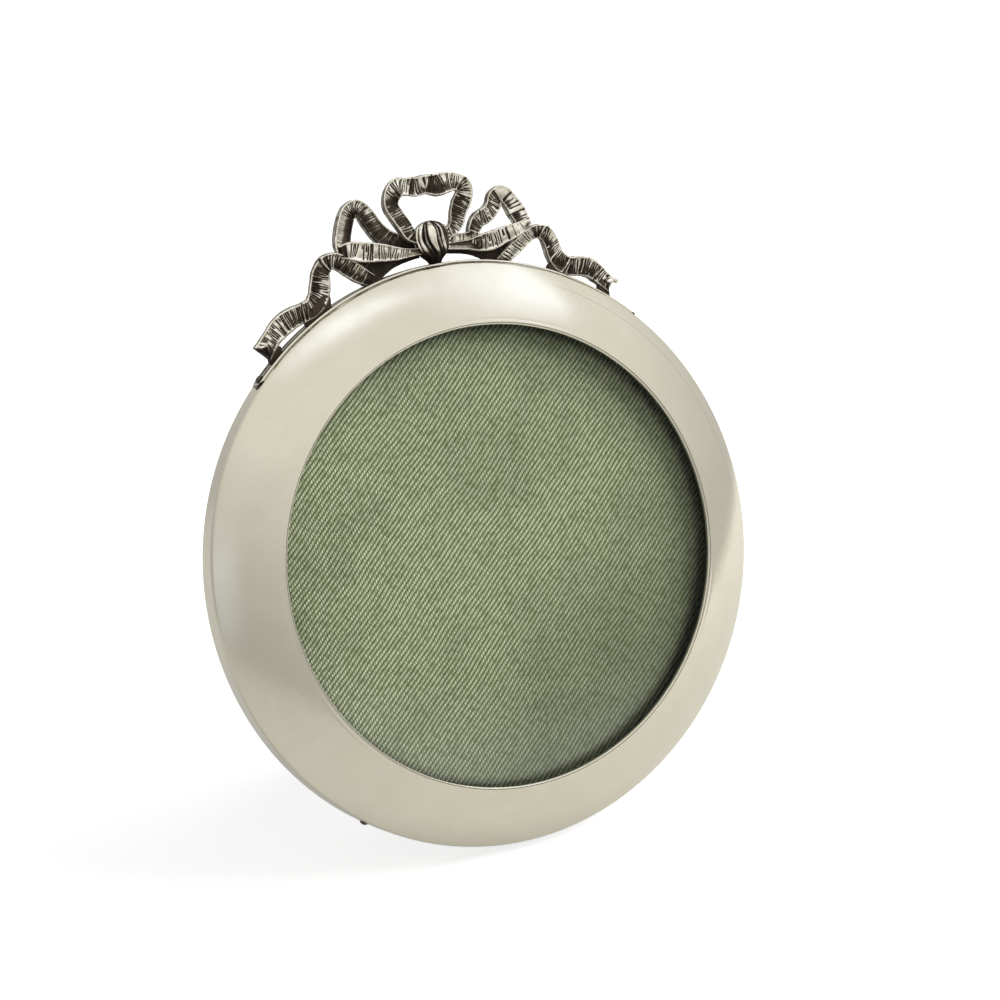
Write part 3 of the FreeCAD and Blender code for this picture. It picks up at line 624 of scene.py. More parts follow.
# What one step stands for in each column of the ribbons' tables.
STATION_UNITS = np.array([0.001, 0.001, 0.1, 0.01, 1.0])
TARNISH_AND_SHADE_UNITS = np.array([1.0, 0.01, 0.01])


@dataclass(frozen=True)
class Strokes:
    """Row of strokes cut across a ribbon between two stations."""

    start: float
    end: float
    count: int
    depth: float = 0.16
    half: float = 0.13
    slant: float = 0.0


@dataclass(frozen=True)
class Ribbon:
    """One strip of the bow.

    Attributes:
        stations: across and up in thousandths of the disc's radius, depth in tenths and width
            in hundredths of the maker's, and turn in degrees, along the strip.
        tarnish_and_shade: station, and the darkness there along its left and right edge in
            hundredths, which is oxide in the hollows and painted shade on shaded sides.
        strokes: rows of strokes.
        folds: station of each fold and its step.
        gauge: thickness of the strip.
        notch: depth of the swallow-tail at the strip's end.
        dip: how far the middle lies under the raised edges.
        edges: darkness of the first and second edge, painted shade where an edge is dark.
    """

    stations: Shares
    tarnish_and_shade: Shares
    strokes: tuple[Strokes, ...] = ()
    folds: tuple[Pair, ...] = ()
    gauge: float = 1.5
    notch: float = 0.0
    dip: float = 0.22
    edges: Pair = (0.05, 0.05)


class Strip:
    """One ribbon under way: its course in fine steps, and its face's heights and darkness."""

    def __init__(self, ribbon: Ribbon, maker: "RibbonMaker", seed: int) -> None:
        """Follow a ribbon's stations.

        Args:
            ribbon: the ribbon.
            maker: sizes that all ribbons share.
            seed: choice of the small irregularities.
        """
        self.ribbon, self.maker = ribbon, maker
        self.draw = np.random.default_rng(seed)
        self.deep = ribbon.gauge / 2
        self.low = self.deep - min(maker.edge_drop, self.deep * 0.8)
        rim = np.array(maker.rim)
        inner = np.linspace(-maker.inner, maker.inner, maker.columns)
        self.across = np.concatenate([-rim[::-1], inner, rim])
        stations = np.array(ribbon.stations) * STATION_UNITS
        self.dense = np.linspace(0, len(stations) - 1, maker.fineness * len(stations))
        rows = catmull(stations, self.dense)[:, :2] * maker.radius
        self.run = np.concatenate([[0], np.cumsum(np.hypot(*np.diff(rows, axis=0).T))])
        self.count = int(self.run[-1] / maker.pitch)
        self.spot = np.interp(np.linspace(0, self.run[-1], self.count), self.run, self.dense)
        self.along = self.reached(self.spot)[:, None]
        path = catmull(stations, self.spot)
        self.middle = np.column_stack([path[:, :2] * maker.radius,
                                       maker.crest + path[:, 2] * maker.relief])
        forward = np.gradient(path[:, :2], axis=0)
        forward /= np.linalg.norm(forward, axis=1)[:, None]
        right = np.column_stack([forward[:, 1], -forward[:, 0]])
        turn = np.radians(path[:, 4])
        self.forward = np.column_stack([forward, np.zeros(self.count)])
        self.side = np.column_stack([right * np.cos(turn)[:, None], -np.sin(turn)])
        self.face = np.column_stack([right * np.sin(turn)[:, None], np.cos(turn)])
        wobble = sum(self.draw.uniform(0.3, 1) * np.sin(self.along * rate
                                                        + self.draw.uniform(0, 6.3))
                     for rate in (1.1, 2.3, 4.1)) * maker.wobble
        self.half = (path[:, 3:4] + wobble) * maker.width / 2

    def reached(self, station: float | Array) -> float | Array:
        """Distance along the ribbon at a station."""
        return np.interp(station, self.dense, self.run)

    def place(self, shares: Array, heights: Array, pull: Array) -> Array:
        """Points of the strip.

        Args:
            shares: places across as shares of the half width.
            heights: heights over the strip's middle.
            pull: distances back along the strip.

        Returns:
            Grid of points, one row for each step.
        """
        return (self.middle[:, None] + self.side[:, None] * (shares * self.half)[..., None]
                + self.face[:, None] * heights[..., None]
                - self.forward[:, None] * pull[..., None])

    def shape(self) -> None:
        """Give the face its beaded edges, its hollow, and its tarnish and painted shade."""
        across, off, start = self.across, np.abs(self.across), self.maker.bead_start
        lift = np.sqrt(1 - np.clip((off - start) / (1 - start), 0, 1) ** 2)
        hollow = smoothed(0.82 - off, 0, 0.16)
        hollow = hollow * (1 - 0.45 * np.cos(across * math.pi / 2) ** 2)
        height = self.deep - (self.deep - self.low) * (1 - lift) - self.ribbon.dip * hollow
        self.height = np.broadcast_to(height, (self.count, len(across))).copy()
        # Oxide and painted shade from the table, blended across the strip; the edges' darkness is
        # painted shade too.
        at, left, right = (np.array(self.ribbon.tarnish_and_shade) * TARNISH_AND_SHADE_UNITS).T
        share = smoothed(across, -0.5, 0.5)
        dark = (np.interp(self.spot, at, left)[:, None] * (1 - share)
                + np.interp(self.spot, at, right)[:, None] * share)
        raised = 1 - smoothed(off, 0.8, 0.86)
        edge = np.where(across < 0, *self.ribbon.edges)
        recess = dark * raised + edge * (1 - raised) + 0.12 * hollow
        self.recess = recess + smoothed(off, 0.93, 0.99) * 0.5

    def strike(self, strokes: Strokes) -> None:
        """Cut a row of strokes, and brighten the ridges between them."""
        across, draw = self.across, self.draw
        first, last = self.reached(strokes.start), self.reached(strokes.end)
        gap = (last - first) / strokes.count
        places = np.linspace(first, last, strokes.count)
        places = places + draw.uniform(-0.16, 0.16, strokes.count) * gap
        slide = self.along + strokes.slant * across * self.half
        slide = slide + 0.05 * np.sin(across * 4 + self.along * 1.7)
        glint = np.zeros_like(self.recess)
        for place in places:
            reach = self.reach(0.35)
            near = np.abs(slide - place - gap / 2) / (gap / 2)
            glint = np.maximum(glint, np.clip(1.15 - near, 0, 1) * reach
                               * draw.uniform(0.15, 1.2) * min(1.0, strokes.depth * 3.6))
        self.recess = self.recess * (1 - np.minimum(glint, 1) * 0.85)
        free = 0.06 + 0.94 * smoothed(0.88 - np.abs(across), 0, 0.1)
        for place in places:
            depth = strokes.depth * draw.uniform(0.7, 1.2)
            wide = strokes.half * draw.uniform(0.8, 1.5)
            lean = draw.uniform(-0.05, 0.05) * across * self.half
            reach = self.reach(0.75)
            notch = np.clip(1 - np.abs(slide + lean - place) / wide, 0, 1) ** 0.6 * reach
            self.height -= notch * depth * free
            dark = notch * free * min(1.0, 0.5 + depth * 4)
            self.recess = np.maximum(self.recess, dark)

    def reach(self, whole: float) -> Array:
        """Share of a cut at each place across, drawn with a chance that it runs the whole way."""
        draw = self.draw
        start, end = draw.uniform(-1.2, -0.75), draw.uniform(0.75, 1.2)
        if draw.uniform() > whole:
            stop = draw.uniform(-0.3, 0.3)
            start, end = (start, stop) if draw.uniform() < 0.5 else (stop, end)
        return (smoothed(self.across, start, start + 0.3)
                * (1 - smoothed(self.across, end - 0.3, end)))

    def fold(self, station: float, step: float) -> None:
        """Step the strip where it folds, bright on the step and dark under it."""
        gap = self.along - self.reached(station) + 0.25 * self.across * self.half
        ramp = np.where(gap < 0, np.exp(gap / 0.7), np.clip(1 - gap / 0.14, 0, 1))
        self.height += step * (ramp - 0.5 * np.exp(-np.abs(gap) / 0.7))
        recess = np.maximum(self.recess, np.clip(1 - np.abs(gap - 0.26) / 0.3, 0, 1))
        self.recess = recess * (1 - 0.9 * np.clip(1 - np.abs(gap + 0.1) / 0.18, 0, 1))


@dataclass
class RibbonMaker:
    """Turns ribbons into relief on a surface, in the disc's frame."""

    radius: float
    crest: float = 2.5
    relief: float = 1.2
    width: float = 3.4
    wobble: float = 0.012
    pitch: float = 0.09
    fineness: int = 60
    inner: float = 0.75
    columns: int = 23
    rim: tuple[float, ...] = (0.80, 0.84, 0.87, 0.90, 0.93, 0.96, 0.985, 0.997)
    bead_start: float = 0.87
    edge_drop: float = 0.34
    foot: tuple[float, ...] = (1.0, 1.0, 0.97, 0.88, 0.5, 0.0, -0.5, -0.88, -0.97, -1.0, -1.0)
    foot_rise: tuple[float, ...] = (0.2, 0.04, 0.0, 0.0, 0.0, 0.0, 0.0, 0.04, 0.2)
    foot_dark: float = 0.42

    def lay(self, surface: Surface, ribbon: Ribbon, seed: int) -> None:
        """Add one ribbon.

        Args:
            surface: mesh to add to.
            ribbon: the ribbon.
            seed: choice of its small irregularities.
        """
        strip = Strip(ribbon, self, seed)
        strip.shape()
        for strokes in ribbon.strokes:
            strip.strike(strokes)
        for station, step in ribbon.folds:
            strip.fold(station, step)
        back = np.zeros_like(strip.height)
        if ribbon.notch:
            pull = smoothed(strip.along, strip.run[-1] - 2.2 * ribbon.notch, strip.run[-1])
            back = pull * ribbon.notch * (1 - np.abs(strip.across))
        foot = np.array(self.foot)
        size = (strip.count, len(foot))
        under = [strip.low] + [rise - strip.deep for rise in self.foot_rise] + [strip.low]
        grid = np.concatenate([
            strip.place(strip.across, strip.height, back),
            strip.place(foot, np.broadcast_to(under, size),
                        (1 - np.abs(foot)) * back.max(axis=1)[:, None])], axis=1)
        shade = np.concatenate([np.clip(strip.recess, 0, 1), np.full(size, self.foot_dark)],
                               axis=1)
        surface.grid(grid, shade, wrap_columns=True)
        surface.close(*grid.shape[:2])

    def plate(self, surface: Surface, shares: tuple[Pair, ...], low: float, high: float) -> None:
        """Add a foot or web: a plate with corners given as shares, at heights from the crest."""
        corners = softened([(x * self.radius, y * self.radius) for x, y in shares], 0.8, 5)
        # Feet and webs are dark: oxide, and painted shade where they lie under and behind the
        # ribbons.
        slab(surface, corners, self.crest + low, self.crest + high, 0.25, 0.72)

    def tip(self, surface: Surface, share: Pair, size: float) -> None:
        """Add the small ball at the end of a tail."""
        surface.at = Matrix.Translation((share[0] * self.radius, share[1] * self.radius,
                                         self.crest + 0.2))
        lathe(surface, arc((0, 0), size, 90, -90, 12), 24, [0.1] * 13, ripple=0.06, seed=9)


LOOP_TOP = Ribbon(
    stations=((-38, 1092, 4, 60, 0), (-76, 1116, 2, 90, 8), (-92, 1150, -2, 105, 14),
              (-113, 1188, -2, 105, 14), (-128, 1222, 0, 105, 10), (-121, 1256, 4, 112, 0),
              (-94, 1280, 6, 120, -8), (-60, 1277, 3, 112, 0), (-26, 1273, 0, 122, 6),
              (9, 1276, 2, 118, 6), (46, 1268, 6, 142, -6), (83, 1271, 4, 134, -8),
              (116, 1270, 3, 112, 0), (147, 1252, 0, 110, 8), (149, 1224, -2, 112, 10),
              (132, 1194, -3, 122, 10), (114, 1164, -2, 110, 8), (102, 1136, 0, 100, 0),
              (82, 1113, 2, 80, 0), (38, 1092, 4, 60, 0)),
    tarnish_and_shade=((0, 95, 95), (1.2, 85, 75), (2.6, 75, 55), (3, 40, 10), (3.5, 85, 60), (4.3, 70, 90),
             (4.8, 20, 95), (5.4, 0, 60), (5.9, 0, 5), (6.8, 5, 10), (7.3, 80, 70), (8.3, 35, 45),
             (8.9, 5, 10), (9.4, 75, 85), (10.2, 50, 80), (10.7, 0, 50), (11.4, 0, 45),
             (12.2, 0, 70), (12.7, 0, 100), (13.4, 10, 95), (14.2, 45, 80), (16, 50, 75),
             (17, 30, 60), (18, 40, 60), (19, 90, 90)),
    strokes=(Strokes(0.6, 4.1, 15, 0.18, 0.16, 0.2), Strokes(4.9, 6.9, 11, 0.24, 0.13, 0.2),
             Strokes(7.3, 8.9, 8, 0.3, 0.2, -0.1), Strokes(9.3, 10.7, 8, 0.32, 0.22, -0.1),
             Strokes(10.9, 12.3, 8, 0.18, 0.12, 0.1), Strokes(12.9, 18.6, 26, 0.24, 0.17, 0.1)),
    folds=((7.2, 0.34), (9.1, 0.3), (12.5, 0.26)), edges=(0.05, 0.3))
LOOP_LEFT = (
    Ribbon(
        stations=((-45, 1080, -10, 95, 0), (-100, 1090, -10, 115, 0), (-150, 1110, -8, 125, 6),
                  (-187, 1144, -5, 122, 10), (-213, 1184, -2, 120, 10), (-234, 1217, 1, 108, 4),
                  (-259, 1234, 3, 105, 0), (-287, 1222, 2, 105, -8), (-304, 1190, 0, 115, -14),
                  (-317, 1156, 0, 118, -14), (-327, 1122, 2, 110, -8), (-330, 1096, 5, 90, 0)),
        tarnish_and_shade=((0, 95, 90), (1.5, 95, 70), (3, 95, 60), (4.5, 95, 35), (5.4, 90, 5),
                 (6.3, 90, 0), (7.2, 95, 0), (8, 100, 10), (9.5, 100, 10), (10.5, 100, 10),
                 (11, 90, 30)),
        strokes=(Strokes(0.6, 5.1, 24, 0.15, 0.16, 0.3), Strokes(5.2, 7.4, 12, 0.2, 0.12, 0.2),
                 Strokes(7.5, 10.9, 26, 0.05, 0.1, 0.1)), edges=(0.55, 0)),
    Ribbon(
        stations=((-345, 1096, 7, 75, 0), (-308, 1096, 10, 112, 0), (-260, 1084, 12, 124, 0),
                  (-202, 1074, 11, 112, 0), (-145, 1062, 9, 85, 0), (-95, 1057, 6, 52, 0),
                  (-50, 1056, 4, 40, 0)),
        tarnish_and_shade=((0, 90, 80), (0.5, 80, 70), (0.9, 0, 20), (2, 0, 10), (3.2, 0, 15), (4.2, 20, 20),
                 (5, 40, 10), (6, 90, 50)),
        strokes=(Strokes(0.1, 0.7, 7, 0.28, 0.13, 0), Strokes(1.05, 1.45, 4, 0.28, 0.13, 0.1),
                 Strokes(1.8, 2.5, 6, 0.32, 0.22, 0.05), Strokes(2.9, 3.6, 6, 0.24, 0.13, 0),
                 Strokes(3.8, 4.9, 7, 0.2, 0.12, 0.3))),
)
LOOP_RIGHT = (
    Ribbon(
        stations=((45, 1066, -6, 70, 0), (100, 1072, -2, 80, 0), (146, 1078, 3, 72, 0),
                  (158, 1104, 5, 92, 6), (178, 1128, 4, 102, 8), (213, 1143, 3, 105, 8),
                  (240, 1166, 3, 108, 8), (256, 1193, 3, 112, 4), (282, 1203, 4, 108, 0),
                  (307, 1181, 0, 110, -8), (330, 1142, -3, 128, -12), (348, 1102, -2, 115, -6),
                  (356, 1078, 0, 90, 0)),
        tarnish_and_shade=((0, 60, 60), (1.2, 20, 5), (2, 60, 5), (2.7, 95, 10), (3.6, 85, 50),
                 (4.4, 50, 35), (5, 30, 20), (6.5, 20, 30), (7.4, 0, 30), (8.2, 0, 10),
                 (8.6, 30, 100), (9, 20, 80), (9.5, 0, 50), (9.9, 0, 5), (10.2, 10, 100),
                 (11, 30, 100), (12, 30, 100)),
        strokes=(Strokes(0.6, 1.9, 6, 0.12, 0.1, 0.2), Strokes(2.5, 4.3, 9, 0.24, 0.15, 0.2),
                 Strokes(4.5, 7.3, 15, 0.28, 0.16, 0.1), Strokes(8.8, 9.8, 4, 0.26, 0.17, 0.2),
                 Strokes(10.3, 11.8, 8, 0.2, 0.15, 0.3)),
        folds=((4.2, 0.2), (8.5, 0.3), (10.1, 0.22)), edges=(0.05, 0.3)),
    Ribbon(
        stations=((360, 1094, 4, 50, 0), (312, 1075, 9, 85, 0), (258, 1064, 11, 105, 0),
                  (206, 1052, 12, 118, 0), (160, 1050, 10, 98, 0), (120, 1052, 7, 62, 0),
                  (50, 1058, 4, 40, 0)),
        tarnish_and_shade=((0, 60, 20), (0.8, 15, 0), (1.7, 20, 5), (2.4, 15, 10), (3.5, 30, 35),
                 (4.3, 60, 70), (5, 30, 70), (6, 10, 80)),
        strokes=(Strokes(0.6, 1.2, 4, 0.14, 0.09, 0), Strokes(1.7, 2, 2, 0.4, 0.3, 0),
                 Strokes(2.3, 4.4, 13, 0.28, 0.17, 0.1))),
)
WEB_LEFT = Ribbon(
    stations=((-45, 1048, -13, 50, 0), (-100, 1047, -13, 75, 0), (-152, 1042, -13, 105, 0),
              (-202, 1026, -12, 135, 0), (-237, 1000, -10, 125, 0), (-248, 968, -8, 100, 0)),
    tarnish_and_shade=((0, 85, 80), (5, 80, 80)),
    strokes=(Strokes(1.5, 4.9, 11, 0.02, 0.16, 0.3),), gauge=0.9, dip=0.06, edges=(0.6, 0.5))
WEB_RIGHT = Ribbon(
    stations=((45, 1048, -13, 50, 0), (103, 1047, -13, 75, 0), (153, 1042, -13, 105, 0),
              (203, 1024, -12, 130, 0), (236, 998, -10, 120, 0), (243, 968, -8, 95, 0)),
    tarnish_and_shade=((0, 85, 80), (5, 80, 80)),
    strokes=(Strokes(1.5, 4.9, 11, 0.02, 0.16, -0.3),), gauge=0.9, dip=0.06, edges=(0.5, 0.6))
TAIL_LEFT = Ribbon(
    stations=((-238, 986, -5, 80, 0), (-276, 1010, -2, 108, 0), (-318, 1042, 1, 114, -4),
              (-360, 1070, 5, 105, -8), (-398, 1069, 6, 105, -8), (-420, 1040, 4, 116, 4),
              (-427, 1002, 0, 130, 10), (-438, 963, -2, 132, 10), (-468, 933, 0, 122, 0),
              (-511, 920, 4, 122, -8), (-553, 908, 4, 134, -8), (-591, 886, 0, 136, 4),
              (-624, 857, -2, 118, 8), (-654, 828, 0, 120, 4), (-672, 810, 2, 130, 0)),
    tarnish_and_shade=((0, 100, 100), (0.5, 95, 80), (0.9, 80, 20), (2, 85, 15), (3, 85, 25), (3.9, 90, 50),
             (4.5, 90, 30), (4.9, 50, 95), (5.6, 10, 95), (6.6, 0, 85), (7.3, 25, 50),
             (7.8, 90, 60), (8.6, 95, 40), (9.2, 50, 20), (10, 15, 15), (11.5, 15, 10),
             (12.6, 40, 0), (13.2, 95, 10), (14, 100, 30)),
    strokes=(Strokes(0.6, 1.7, 8, 0.24, 0.14, 0.2), Strokes(1.8, 4.1, 13, 0.3, 0.18, 0.15),
             Strokes(4.9, 7.1, 12, 0.24, 0.14, 0.2), Strokes(7.2, 8.8, 9, 0.3, 0.19, 0.2),
             Strokes(9.1, 12, 20, 0.28, 0.16, 0.1), Strokes(12.2, 13.6, 8, 0.24, 0.16, 0)),
    folds=((4.3, 0.3), (7.1, 0.2), (8.9, 0.26)), notch=1.6, edges=(0.35, 0.05))
TAIL_RIGHT = Ribbon(
    stations=((240, 972, -2, 72, 0), (277, 997, 0, 84, 0), (315, 1023, 3, 86, 4),
              (352, 1048, 6, 84, 8), (388, 1058, 6, 86, 8), (420, 1045, 5, 102, 4),
              (437, 1012, 2, 116, -8), (446, 977, 0, 122, -8), (462, 944, 0, 124, 0),
              (492, 922, 2, 120, 8), (530, 915, 4, 126, 8), (569, 902, 3, 128, 0),
              (602, 874, -1, 118, -8), (628, 845, 0, 105, -4), (648, 826, 2, 105, 0)),
    tarnish_and_shade=((0, 70, 90), (0.6, 15, 50), (1.2, 10, 10), (2, 5, 10), (3.2, 15, 10), (3.8, 70, 80),
             (4.4, 40, 80), (4.8, 0, 60), (5.4, 20, 100), (6.5, 10, 95), (8, 20, 90),
             (8.6, 60, 70), (9.2, 90, 80), (9.7, 20, 70), (10.3, 90, 95), (10.9, 0, 50),
             (11.4, 40, 90), (12.1, 0, 50), (12.6, 30, 70), (13.2, 10, 90), (14, 10, 95)),
    strokes=(Strokes(0.5, 1.3, 4, 0.26, 0.15, -0.2), Strokes(1.7, 2.2, 3, 0.3, 0.18, -0.2),
             Strokes(2.7, 3.2, 3, 0.26, 0.12, -0.2), Strokes(3.7, 4.5, 6, 0.28, 0.14, 0.1),
             Strokes(5, 8.4, 17, 0.26, 0.16, -0.3), Strokes(8.7, 13.2, 22, 0.3, 0.18, 0.1)),
    folds=((4.6, 0.3), (8.8, 0.28), (11.9, 0.2)), notch=1.2, edges=(0.05, 0.3))
FEET_LEFT = (
    ((-0.620, 0.835), (-0.598, 0.822), (-0.618, 0.760), (-0.650, 0.770), (-0.652, 0.815)),
    ((-0.505, 0.900), (-0.430, 0.965), (-0.398, 0.965), (-0.404, 0.890), (-0.500, 0.850)),
)
FEET_RIGHT = (
    ((0.600, 0.850), (0.590, 0.820), (0.600, 0.780), (0.632, 0.780), (0.636, 0.840)),
    ((0.425, 0.945), (0.480, 0.915), (0.474, 0.860), (0.410, 0.890), (0.412, 0.930)),
)
FILL_LEFT = ((-0.325, 1.076), (-0.300, 1.096), (-0.110, 1.052), (-0.120, 1.038), (-0.160, 1.016),
             (-0.196, 0.986), (-0.236, 0.968), (-0.262, 0.984), (-0.290, 1.020))
FILL_RIGHT = ((0.120, 1.046), (0.228, 1.040), (0.372, 1.092), (0.392, 1.068), (0.268, 0.990),
              (0.232, 0.970), (0.196, 0.990), (0.156, 1.014))


@dataclass
class Knot:
    """Gathered knot on the strap, pleated on its front."""

    base: float = 0.5
    height: float = 8.8
    half_width: float = 4.1
    half_depth: float = 3.3
    middle: float = 2.5
    flute: float = 0.6
    twist: float = 26.0
    bead: float = 0.26
    beads: int = 7
    bead_span: Pair = (0.34, 0.86)
    bead_turn: float = 57.0
    girths: tuple[Pair, ...] = ((-0.05, 0.30), (0.07, 0.44), (0.20, 0.74), (0.36, 0.93),
                                (0.52, 1.00), (0.70, 0.99), (0.83, 0.90), (0.93, 0.68),
                                (1.00, 0.36), (1.03, 0.0))
    ridges: Shares = (
        (-108, 6, 0.5), (-88, 6, 0.8), (-66, 6, 0.9), (-50, 9, 1.0), (-32, 5, 0.6),
        (-10, 12, 1.0), (10, 4, 0.55), (24, 6, 0.85), (38, 4, 0.4), (52, 5, 0.5), (70, 6, 0.45),
        (90, 7, 0.5), (112, 9, 0.6), (135, 9, 0.6), (158, 9, 0.6), (180, 9, 0.6),
        (-158, 9, 0.6), (-133, 9, 0.6))

    def build(self, disc: Disc) -> Thing:
        """Model the knot."""
        heights = np.linspace(0, len(self.girths) - 1, 90)
        levels = catmull(np.array(self.girths), heights)
        angles = np.radians(np.arange(0, 360, 1.0))
        rib = np.zeros((len(levels), len(angles)))
        lean = self.twist * (0.6 - levels[:, :1]) + 3 * np.sin(levels[:, :1] * 9)
        for centre, half, tall in self.ridges:
            gap = (np.degrees(angles)[None, :] - centre - lean + 180) % 360 - 180
            wide = half * (1 + 0.3 * np.sin(levels[:, :1] * 7 + centre))
            rib = np.maximum(rib, tall * np.sqrt(np.clip(1 - (gap / wide) ** 2, 0, 1)))
        fade = smoothed(levels[:, 1], 0.0, 0.5)[:, None]
        girth = np.maximum(levels[:, 1], 0)[:, None]
        swell = self.flute * girth * (rib - 0.75) * fade
        wide, deep = self.half_width * girth + swell, self.half_depth * girth + swell
        spots = np.stack([wide * np.sin(angles), np.broadcast_to(
            disc.radius + self.base + levels[:, :1] * self.height, wide.shape),
            self.middle + deep * np.cos(angles)], -1)
        dark = np.clip(1.0 - 1.05 * rib, 0.04, 1)
        low = 0.9 - 0.9 * smoothed(levels[:, 0], 0.14, 0.42)[:, None]
        low = low + 0.4 * smoothed(levels[:, 0], 0.88, 1.0)[:, None]
        surface = Surface()
        surface.grid(spots, np.clip(dark + low, 0, 1), wrap_columns=True)
        surface.faces.append(tuple(range(len(angles))))
        ball = arc((0, 0), self.bead, 90, -90, 8)
        turn = math.radians(self.bead_turn)
        for share in np.linspace(*self.bead_span, self.beads):
            girth_here = np.interp(share, *zip(*self.girths))
            surface.at = Matrix.Translation((
                self.half_width * girth_here * math.sin(turn),
                disc.radius + self.base + share * self.height,
                self.middle + self.half_depth * girth_here * math.cos(turn)))
            lathe(surface, ball, 12, [0.0] * len(ball))
        return surface.build("bow_knot_pleats", disc.place, 60)


@dataclass
class Crest:
    """The bow's ribbons, webs and tails."""

    level: Pair = (-0.75, 0.65)
    behind: Pair = (-1.9, -1.1)
    tip: Pair = (0.668, 0.842)
    tip_size: float = 0.62

    def build(self, disc: Disc) -> dict[str, Thing]:
        """Model the bow, one object for each CAD node."""
        maker = RibbonMaker(disc.radius)
        made = {}
        for n, (label, ribbons, plates, span) in enumerate((
            ("ribbon_loop_top", (LOOP_TOP,), (), self.level),
            ("ribbon_loop_left", LOOP_LEFT, (), self.level),
            ("ribbon_loop_right", LOOP_RIGHT, (), self.level),
            ("ribbon_web_left", (WEB_LEFT,), (FILL_LEFT,), self.behind),
            ("ribbon_web_right", (WEB_RIGHT,), (FILL_RIGHT,), self.behind),
            ("ribbon_tail_left", (TAIL_LEFT,), FEET_LEFT, self.level),
            ("ribbon_tail_right", (TAIL_RIGHT,), FEET_RIGHT, self.level),
        )):
            surface = Surface()
            for m, ribbon in enumerate(ribbons):
                maker.lay(surface, ribbon, 20 + 3 * n + m)
            for shares in plates:
                maker.plate(surface, shares, *span)
            if label == "ribbon_tail_right":
                maker.tip(surface, self.tip, self.tip_size)
            made[label] = surface.build(label + "_relief", disc.place, 48)
            seat(label, made[label], Body.FRAME)
        return made


# Wooden ring, glass, silk and cards

# Distance from cord to cord in the silk, and the degrees that they are turned on the disc.
CORD_PITCH = 0.9
CORD_TURN = 133.2
# How the silk's cords wander: size in millimetres, turns per millimetre, start.
CORD_WAVES: Shares = ((0.16, 0.16, 0.4), (0.07, 0.37, 2.0), (0.035, 0.83, 4.1))


